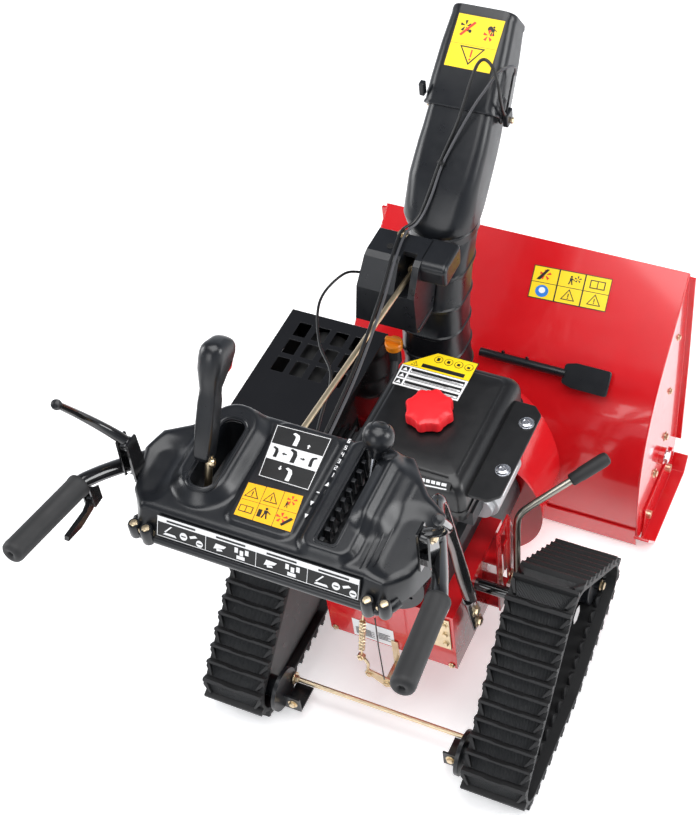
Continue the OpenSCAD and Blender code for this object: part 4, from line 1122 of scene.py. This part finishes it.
# ---------- cables ----------
MEET = Vector((-97, 303, 856))
BLACK_LOW = [
    (-20, -300, 886), (-20, -272, 860), (-26, -236, 852), (-44, -60, 850), (-72, 110, 850), (-92, 212, 857),
    MEET - Vector((7.4, 18.6, 0.4)), MEET
]
BLACK_HIGH = [
    MEET + Vector((0.15, 0.4, 0)), MEET + Vector((4, 10, 0.6)), (-86, 338, 867), (-80, 361, 892),
    (-73, 400, 931), (-57, 445, 984), (-48, 465, 1022), (-40, 485, 1061), (-31, 499, 1089),
    (-17, 501, 1098), (0, 495, 1085), (12, 484, 1058), (14, 487, 1025), (13.5, 498, 992), (13.5, 506, 981.2)
]
GREY_LOW = [
    (-12, -300, 886), (-12, -272, 860), (-18, -236, 852), (-36, -60, 850), (-64, 110, 850), (-84, 211, 857),
    MEET + Vector((2, -20.2, -0.4)), MEET + Vector((7.4, -1.2, 0))
]
GREY_HIGH = [
    MEET + Vector((7.5, -0.8, 0)), MEET + Vector((10.5, 9, 0.6)), (-80, 336, 867), (-73, 361, 893),
    (-66, 402, 934), (-35, 459, 1008), (-12, 480, 1049), (6, 500, 1076), (20, 514, 1082), (24, 534, 1068),
    (18, 548, 1046), (12, 556, 1032)
]
for name, low, high, r, mat in (
    ("black_cable", BLACK_LOW, BLACK_HIGH, 3, "cable"),
    ("grey_cable", GREY_LOW, GREY_HIGH, 2.5, "grey_cable")
):
    points = spline(low[:-1] + high[1:], 8)
    cord = tube(
        name, points, r, mat, None, sides=12, slot="cable",
        replaced=["dash_cables", "chute_cables"] if mat == "cable" else ()
    )
    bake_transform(cord)
tube(
    "left_cable",
    spline(
        [
            (-168, 240, 775), (-187, 207, 797), (-200, 150, 800), (-190, 98, 800), (-151, 26, 800),
            (-96, -42, 812), (-60, -150, 836), (-34, -240, 850), (-30, -272, 866), (-30, -300, 886)
        ],
        8
    ),
    2.5, "cable", sides=12
)
lathe("cable_tie", hub(6.5, 7.6, -3, 3), (-70, 400, 932), (0.35, 0.66, 0.66), "cable", "chute", cap=False)

# ---------- nuts and washers on the rear rod ---
for sx, side in SIDES:
    bolt(f"rod_nut_{side}", (sx * 186, -213, 56), (-sx, 0, 0), 8, "track_carriage", washer=False)
    lathe(
        f"rod_washer_{side}", [(5, 0), (13, 0), (13.4, 1), (13, 2.4), (5, 2.4)], (sx * 188, -213, 56),
        (-sx, 0, 0), "zinc", "track_carriage", cap=False
    )

# ---------- decals ----------
d = Decal(
    "deflector_label", (-110, 523, 1050.2), (-20, 523, 1050.2), (-106, 597, 1114), "deflector", (89, 95)
)
d.rect(0, 0, 89, 95, "black", 0.5)
d.rect(1, 1, 87, 93, "yellow")
d.shape([(20, 40), (44, 8), (68, 40)], "black", 2)
d.shape([(24.5, 37.6), (44, 12), (63.5, 37.6)], "yellow", 3)
d.rect(43, 22, 3, 13, "red", 4)
d.disc(44.5, 18, 1.8, "red", 4)
d.disc(30, 66, 3, "black")
d.rotor(20, 74, 11, "black")
d.shape([(12, 58), (16, 56), (38, 82), (34, 84)], "red", 3)
d.disc(66, 76, 5, "black")
d.rotor(66, 64, 11, "red")
d.person(72, 72, 10)
d.make()

d = Decal("tank_label", (-68, 112, 641.2), (66, 112, 641.2), (-68, 212, 641.2), "machine", (134, 100))
d.shape([(1, 0), (133, 0), (134, 100), (52, 100), (-2, 50)], "black", 0.6)
d.shape([(2.5, 1.5), (131.5, 1.5), (132, 52), (0.5, 52)], "white")
d.shape([(0.5, 53), (132, 53), (132, 98.5), (52.5, 98.5)], "yellow")
d.warning(22, 60, 7)
d.bars(36, 57, 84, 9, 1, "black")
for k, x in enumerate((60, 80, 100, 120)):
    d.disc(x, 84, 8.4, "black", 2)
    d.disc(x, 84, 7.2, "yellow", 3)
    d.rect(x - 3, 80, 6, 8 - k, "black", 4)
for k in range(3):
    y = 5 + 16 * k
    d.rect(4, y, 14, 12, "black", 2)
    d.shape([(6, y + 2), (16, y + 2), (11, y + 10)], "white", 3)
    d.rect(22, y, 106, 11, "black", 2)
    d.rect(23, y + 1, 104, 4, "white", 3)
    d.bars(25, y + 2, 96, 1.2, 2, "black", 4)
d.make()

d = Decal(
    "housing_label", (21, 565, 467.7), (186, 570, 472), (18, 618.4, 509.4), "machine", (166, 76),
    (183, 624, 513.8), 0.4
)
for k in range(3):
    x = 2 + 55 * k
    d.rect(x - 2, 0, 55.5, 76, "black", 0.6)
    d.rect(x, 2, 52, 35.5, "yellow")
    d.rect(x, 39, 52, 35, "yellow")
d.rotor(27, 57, 13, "red")
d.shape([(10, 44), (18, 44), (34, 70), (28, 70)], "black", 2)
d.disc(27, 19, 14, "blue")
d.disc(27, 21, 7, "white", 3)
d.person(82, 54, 12)
d.rotor(96, 60, 8, "black")
d.warning(83, 18, 15)
d.book(138, 56, 16)
d.warning(138, 18, 15)
d.make()

d = Decal(
    "dash_diagram", (-53.6, -366, 931.9), (35.5, -366, 931.9), (-70, -264, 938), "machine", (92, 106),
    (28, -261, 938), 0.9
)
d.rect(0, 0, 92, 106, "black", 1)
d.frame(2.5, 2.5, 87, 101, 1.0, "white", 2)
d.rect(3.5, 38, 85, 30, "white", 2)
d.chute(40, 85, 12, 1, "white", 3)
d.arrow(62, 78, 4, math.pi / 2, "white")
d.chute(46, 54, 13, 1, "black", 3)
d.chute(16, 53, 10, 1, "black", 3)
d.chute(76, 53, 10, -1, "black", 3)
d.arrow(30, 53, 4, math.pi, "black")
d.arrow(61, 53, 4, 0, "black")
d.chute(50, 19, 12, 1, "white", 3)
d.arrow(32, 26, 4, -math.pi / 2, "white")
d.make()

d = Decal(
    "dash_warnings", (-56, -443, 928), (42, -443, 928), (-61.5, -380, 931.2), "machine", (93, 68),
    (31.5, -375, 931.2), 0.9
)
d.rect(0, 0, 93, 68, "black", 1)
for i in range(3):
    for j in range(2):
        d.rect(1 + 30.7 * i, 1 + 33.4 * j, 29.8, 32.6, "amber", 1.6)
d.warning(15, 47, 12, back="amber")
d.warning(46, 47, 12, back="amber")
d.rotor(78, 54, 9, "red")
d.person(72, 44, 7)
d.book(15, 17, 11, back="amber")
d.person(46, 18, 12)
d.rect(34, 10, 6, 14, "black", 3)
d.rotor(72, 20, 10, "red")
d.shape([(76, 6), (90, 22), (86, 25), (73, 9)], "black", 3)
d.make()

d = Decal(
    "dash_strip", (-172, -491.4, 884.5), (172, -491.4, 884.5), (-172, -476.2, 919.5), "machine", (344, 38)
)
d.rect(0, 0, 344, 38, "black", 1.2)
d.frame(1.5, 1.5, 341, 35, 1, "white", 5)
d.rect(2, 27, 340, 8.5, "white", 5)
for k in range(4):
    x = 6 + 86 * k
    d.rect(x + 12, 29.6, 50, 3.2, "black", 6)
    if k:
        d.rect(x - 6, 2, 1, 33, "white", 5)
    if k in (0, 3):
        d.disc(x + 42, 13, 6.6, "white", 5)
        d.rect(x + 38, 12, 8, 2, "black", 6)
        d.shape([(x + 6, 6), (x + 30, 6), (x + 27, 10), (x + 10, 10)], "white", 5)
        d.shape([(x + 8, 11), (x + 11, 11), (x + 22, 23), (x + 19, 23)], "white", 5)
        d.disc(x + 70, 9, 6, "white", 5)
        d.rect(x + 66, 8, 8, 2, "black", 6)
        d.shape([(x + 54, 13), (x + 66, 18), (x + 62, 21), (x + 52, 17)], "white", 5)
    else:
        d.shape([(x + 8, 10), (x + 26, 14), (x + 30, 19), (x + 12, 20)], "white", 5)
        d.shape([(x + 14, 7), (x + 24, 9), (x + 22, 12), (x + 13, 11)], "white", 5)
        for j in range(3):
            d.rect(x + 44 + 9 * j, 15 - 3 * (j == 1), 6, 9, "white", 5)
        d.rect(x + 48, 5, 14, 6, "white", 5)
d.make()

d = Decal(
    "speed_marks", (54, -412, 928.0), (74, -412, 928.0), (48, -252, 935.6), "machine", (20, 160), None, 0.5
)
for k in range(6):
    d.digit(2, 152 - 13.5 * k, 8, 6 - k)
d.shape([(1, 66), (8, 66), (4.5, 74)], "white", 3)
d.digit(2, 50, 9, 1)
d.rect(-6, 50, 5, 1.8, "white", 3)
d.digit(3, 24, 9, 1)
d.shape([(-8, 33), (-2, 33), (-5, 25)], "white", 3)
d.digit(4, 0, 9, 2)
d.shape([(-7, 9), (-1, 9), (-4, 1)], "white", 3)
d.make()

d = Decal(
    "engine_plate", (60, -79, 622.5), (125, -75, 627), (58, -65.5, 638.5), "machine", (70, 20),
    (126, -64, 641), 1.2
)
d.rect(0, 0, 70, 20, "black", 1)
d.bars(10, 10, 52, 6, 1, "white", 2)
for k in range(4):
    d.rect(20 + 10 * k, 9, 2.4, 8, "black", 3)
d.bars(14, 3.4, 50, 2.6, 1, "white", 2)
d.make()

d = Decal("frame_label", (-84, -128.4, 152), (4, -128.4, 152), (-84, -128.4, 208), "machine", (88, 56))
d.rect(0, 0, 88, 56, "white")
d.bars(6, 8, 40, 1.6, 8, "black")
d.bars(54, 14, 26, 2.4, 5, "black")
d.make()

for sx, side in SIDES:
    for k, (y, z) in enumerate(((546, 172), (478, 128), (560, 300), (600, 420))):
        bolt(f"side_bolt_{side}{k}", (sx * 330.2, y, z), (sx, 0, 0), 7 if k < 2 else 5)
for k, (y0, y1, a0, a1, r, ink) in enumerate(
    (
        (44, 118, 0.25, 1.25, 34.5, "white_ink"), (50, 84, 0.4, 0.5, 34.8, "black_ink"),
        (50, 104, 0.6, 0.68, 34.8, "black_ink"), (50, 96, 0.78, 0.86, 34.8, "black_ink"),
        (50, 108, 0.96, 1.04, 34.8, "black_ink")
    )
):
    strip = [
        [
            (140 + r * math.cos(a), y, 488 + r * math.sin(a))
            for a in (a0 + (a1 - a0) * j / 8 for j in range(9))
        ]
        for y in (y0, y1)
    ]
    verts = strip[0] + strip[1]
    piece(f"starter_label_{k}", verts, [(j, j + 1, 10 + j, 9 + j) for j in range(8)], ink)
# Two near-black sheets inside and under the muffler guard: painted shade seen through its holes.
block("guard_shade_sheet", (-351, 100, 470), (-348.5, 264, 572), "black_and_painted_shade", bevel=0.6)
block("guard_shade_floor", (-344, -36, 457), (-158, 264, 460), "black_and_painted_shade", bevel=1)

# ---------- frame rear ----------
block("frame_plate", (80, -131.4, 214), (128, -128.4, 308), "zinc", bevel=1.0, slot="zinc")
for k, (x, z) in enumerate(((118, 292), (118, 262), (118, 232), (90, 300), (90, 222))):
    bolt(f"frame_bolt_{k}", (x, -131, z), (0, -1, 0), 5.5 if x > 100 else 2.6)
for k, x in enumerate((-124, 124)):
    bolt(f"frame_foot_{k}", (x, -129, 156), (0, -1, 0), 4.5)
coil = [
    (-30 - 0.14 * t + 6 * math.cos(t * 1.9), -176 + 6 * math.sin(t * 1.9), 292 - 1.15 * t)
    for t in range(0, 92)
]
tube("spring_coil", spline(coil, 3), 1.3, "zinc", sides=8)
tube(
    "spring_rod", [(-26, -176, 318), (-30, -176, 292), (-43, -176, 186), (-45, -176, 168)], 2.2, "zinc",
    sides=12
)
tube("spring_wire", [(4, -186, 330), (2, -186, 240), (2, -184, 118)], 1.4, "cable", sides=8)
lathe("spring_eye", hub(3.4, 8, -4, 4), (-46, -176, 162), (0, 1, 0), "zinc", cap=False)
bolt("spring_bolt", (-46, -180, 162), (0, -1, 0), 5)
tube(
    "clutch_link", spline([(-40, -176, 156), (-34, -176, 140), (-36, -176, 122), (-28, -176, 112)], 5), 3.2,
    "zinc", sides=10
)
loft(
    "clutch_arm",
    [
        [(x, y, z) for x, z in rounded([(-44, 112), (-36, 124), (16, 110), (10, 84), (0, 80)], 7, 4)]
        for y in (-179, -175)
    ],
    "zinc", bevel=0.6
)
bolt("clutch_bolt_a", (-33, -179, 112), (0, -1, 0), 6)
bolt("clutch_bolt_b", (3, -179, 96), (0, -1, 0), 6)
block("clutch_mount", (-2, -178, 92), (12, -124, 100), "zinc", bevel=1.0)
block("clutch_mount_leg", (-2, -132, 92), (12, -128.2, 176), "zinc", bevel=1.0)

# ---------- carriage ends ----------
NUT = [(0, 0), (12, 0), (12, 2), (8, 2.4), (8, 8), (6.6, 9), (0, 9)]
for sx, side in SIDES:
    bolt(f"carriage_bolt_{side}", (sx * 170, -262, 44), (0, -1, 0), 7, "track_carriage")
    for name, y, z in (("idler_nut", 165, 132), ("rear_nut", -250, 67)):
        lathe(f"{name}_{side}", NUT, (sx * 320.5, y, z), (sx, 0, 0), "zinc", "track_carriage", sides=6)

# ---------- tracks ----------
WHEELS = [(-250, 67, 45), (-30, 67, 45), (165, 132, 45), (-17, 285, 48)]


def belt_line(count=2400):
    """Points and outward directions around the inside of a belt, with the length up to each."""
    out, length = [], 0.0
    for k in range(count + 1):
        a = -math.pi / 2 - 0.001 + 2 * math.pi * k / count
        n = Vector((math.cos(a), math.sin(a)))
        w = max(WHEELS, key=lambda c: c[0] * n[0] + c[1] * n[1] + c[2])
        p = Vector((w[0], w[1])) + n * w[2]
        if out:
            length += (p - out[-1][1]).length
        out.append((length, p, n))
    return out


LINE = belt_line()
AROUND = LINE[-1][0]


def on_belt(s, off):
    s %= AROUND
    low, high = 0, len(LINE) - 1
    while high - low > 1:
        mid = (low + high) // 2
        if LINE[mid][0] <= s:
            low = mid
        else:
            high = mid
    (s0, p0, n0), (s1, p1, n1) = LINE[low], LINE[high]
    t = (s - s0) / (s1 - s0) if s1 > s0 else 0.0
    p = p0.lerp(p1, t) + n0.lerp(n1, t).normalized() * off
    return p


LINKS = round((AROUND + 16 * math.pi) / 35)
STEP = AROUND / LINKS


def raised(cx, plan, low, high, s0, top=None):
    """A block on the belt from a plan of (x, along) points; top is the plan of its upper face."""
    top = top or plan
    vs = []
    for level, ring in ((low, plan), (high, top)):
        for x, a in ring:
            p = on_belt(s0 + a, level)
            vs.append((cx + x, p[0], p[1]))
    m = len(plan)
    fs = [
        (j, (j + 1) % m, m + (j + 1) % m, m + j)
        for j in range(m)
    ] + [tuple(range(m - 1, -1, -1)), tuple(range(m, 2 * m))]
    return vs, fs


for sx, side in SIDES:
    cx = sx * 276.5
    parts = []
    rings = []
    for k in range(LINKS * 4):
        s0 = AROUND * k / (LINKS * 4)
        a, b = on_belt(s0, 0), on_belt(s0, 8)
        rings.append(
            [
                (cx - 64, *a), (cx + 64, *a), (cx + 64.6, *a.lerp(b, 0.5)), (cx + 64, *b), (cx - 64, *b),
                (cx - 64.6, *a.lerp(b, 0.5))
            ]
        )
    m = len(rings)
    vs = [v for r in rings for v in r]
    fs = [
        (i * 6 + j, i * 6 + (j + 1) % 6, (i + 1) % m * 6 + (j + 1) % 6, (i + 1) % m * 6 + j)
        for i in range(m)
        for j in range(6)
    ]
    parts.append((vs, fs, "rubber"))
    for k in range(LINKS):
        s0 = STEP * k
        bar = [(-65, 0), (-22, 0), (-14, 1.5), (14, 1.5), (22, 0), (65, 0), (65, 10), (-65, 10)]
        bar_top = [(-64.5, 2), (-22, 2), (-14, 3.4), (14, 3.4), (22, 2), (64.5, 2), (64.5, 7), (-64.5, 7)]
        parts.append((*raised(cx, bar, 7.5, 22, s0, bar_top), "rubber"))
        for m1 in (-1, 1):
            rib = [(m1 * 65, 9), (m1 * 65, 17), (m1 * 53, 32), (m1 * 46, 32), (m1 * 57, 9)]
            rib_top = [(m1 * 64.5, 9), (m1 * 64.5, 15), (m1 * 52, 29), (m1 * 48, 29), (m1 * 59, 9)]
            parts.append((*raised(cx, rib, 7.5, 17, s0, rib_top), "rubber"))
        pad = [(-57, 9), (57, 9), (46, 32), (-46, 32)]
        parts.append((*raised(cx, pad, 7.5, 11.5, s0), "tread"))
        horn = [(-7, 4), (7, 4), (7, 23), (-7, 23)]
        parts.append((*raised(cx, horn, 0.5, -12, s0, [(-5, 11), (5, 11), (5, 16), (-5, 16)]), "rubber"))
        fin = [(sx * 37, 3), (sx * 44, 3), (sx * 44, 32), (sx * 37, 32)]
        parts.append(
            (
                *raised(
                    cx, fin, 0.5, -21, s0,
                    [(sx * 39.5, 14), (sx * 41.5, 14), (sx * 41.5, 19), (sx * 39.5, 19)]
                ),
                "rubber"
            )
        )
    parts_piece(f"track_{side}", parts, "track_carriage", ["track_belts"] if sx < 0 else (), 25)

# ---------- floor and light ----------
floor = bpy.data.meshes.new("floor")
floor.from_pydata([(-30, -30, 0), (30, -30, 0), (30, 30, 0), (-30, 30, 0)], [], [(0, 1, 2, 3)])
ground = place("floor", floor)
ground.location.z = -0.0005
pale = shader("floor_pale", (0.93, 0.93, 0.93), 0.6, spread=0.005, bump=0.0)
pale.node_tree.nodes["Principled BSDF"].inputs["Emission Color"].default_value = (1, 1, 1, 1)
pale.node_tree.nodes["Principled BSDF"].inputs["Emission Strength"].default_value = 0.42
floor.materials.append(pale)

world = bpy.data.worlds.new("studio")
world.use_nodes = True
sky = world.node_tree
spot = sky.nodes.new("ShaderNodeTexCoord")
split = sky.nodes.new("ShaderNodeSeparateXYZ")
ramp = sky.nodes.new("ShaderNodeValToRGB")
ramp.color_ramp.elements[0].position = 0.05
ramp.color_ramp.elements[0].color = (0.62, 0.66, 0.72, 1)
ramp.color_ramp.elements[1].position = 0.62
ramp.color_ramp.elements[1].color = (0.16, 0.17, 0.2, 1)
sky.links.new(spot.outputs["Generated"], split.inputs["Vector"])
sky.links.new(split.outputs["Z"], ramp.inputs["Fac"])
sky.links.new(ramp.outputs["Color"], sky.nodes["Background"].inputs["Color"])
sky.nodes["Background"].inputs["Strength"].default_value = 1.0
bpy.context.scene.world = world
for name, at, size, power in (
    ("top", (0.3, -0.2, 4.2), 3.4, 150),
    ("left", (-3.4, -0.6, 1.9), 1.8, 60),
    ("right", (3.0, 0.6, 2.0), 1.6, 55),
    ("front", (-0.6, -3.4, 2.2), 1.6, 26),
):
    lamp = bpy.data.lights.new(name, "AREA")
    lamp.size = size
    lamp.energy = power
    o = place(name, lamp)
    o.location = at
    o.rotation_euler = (Vector((0, 0, 0.4)) - Vector(at)).to_track_quat("-Z", "Y").to_euler()
bpy.context.scene.view_settings.view_transform = "Standard"
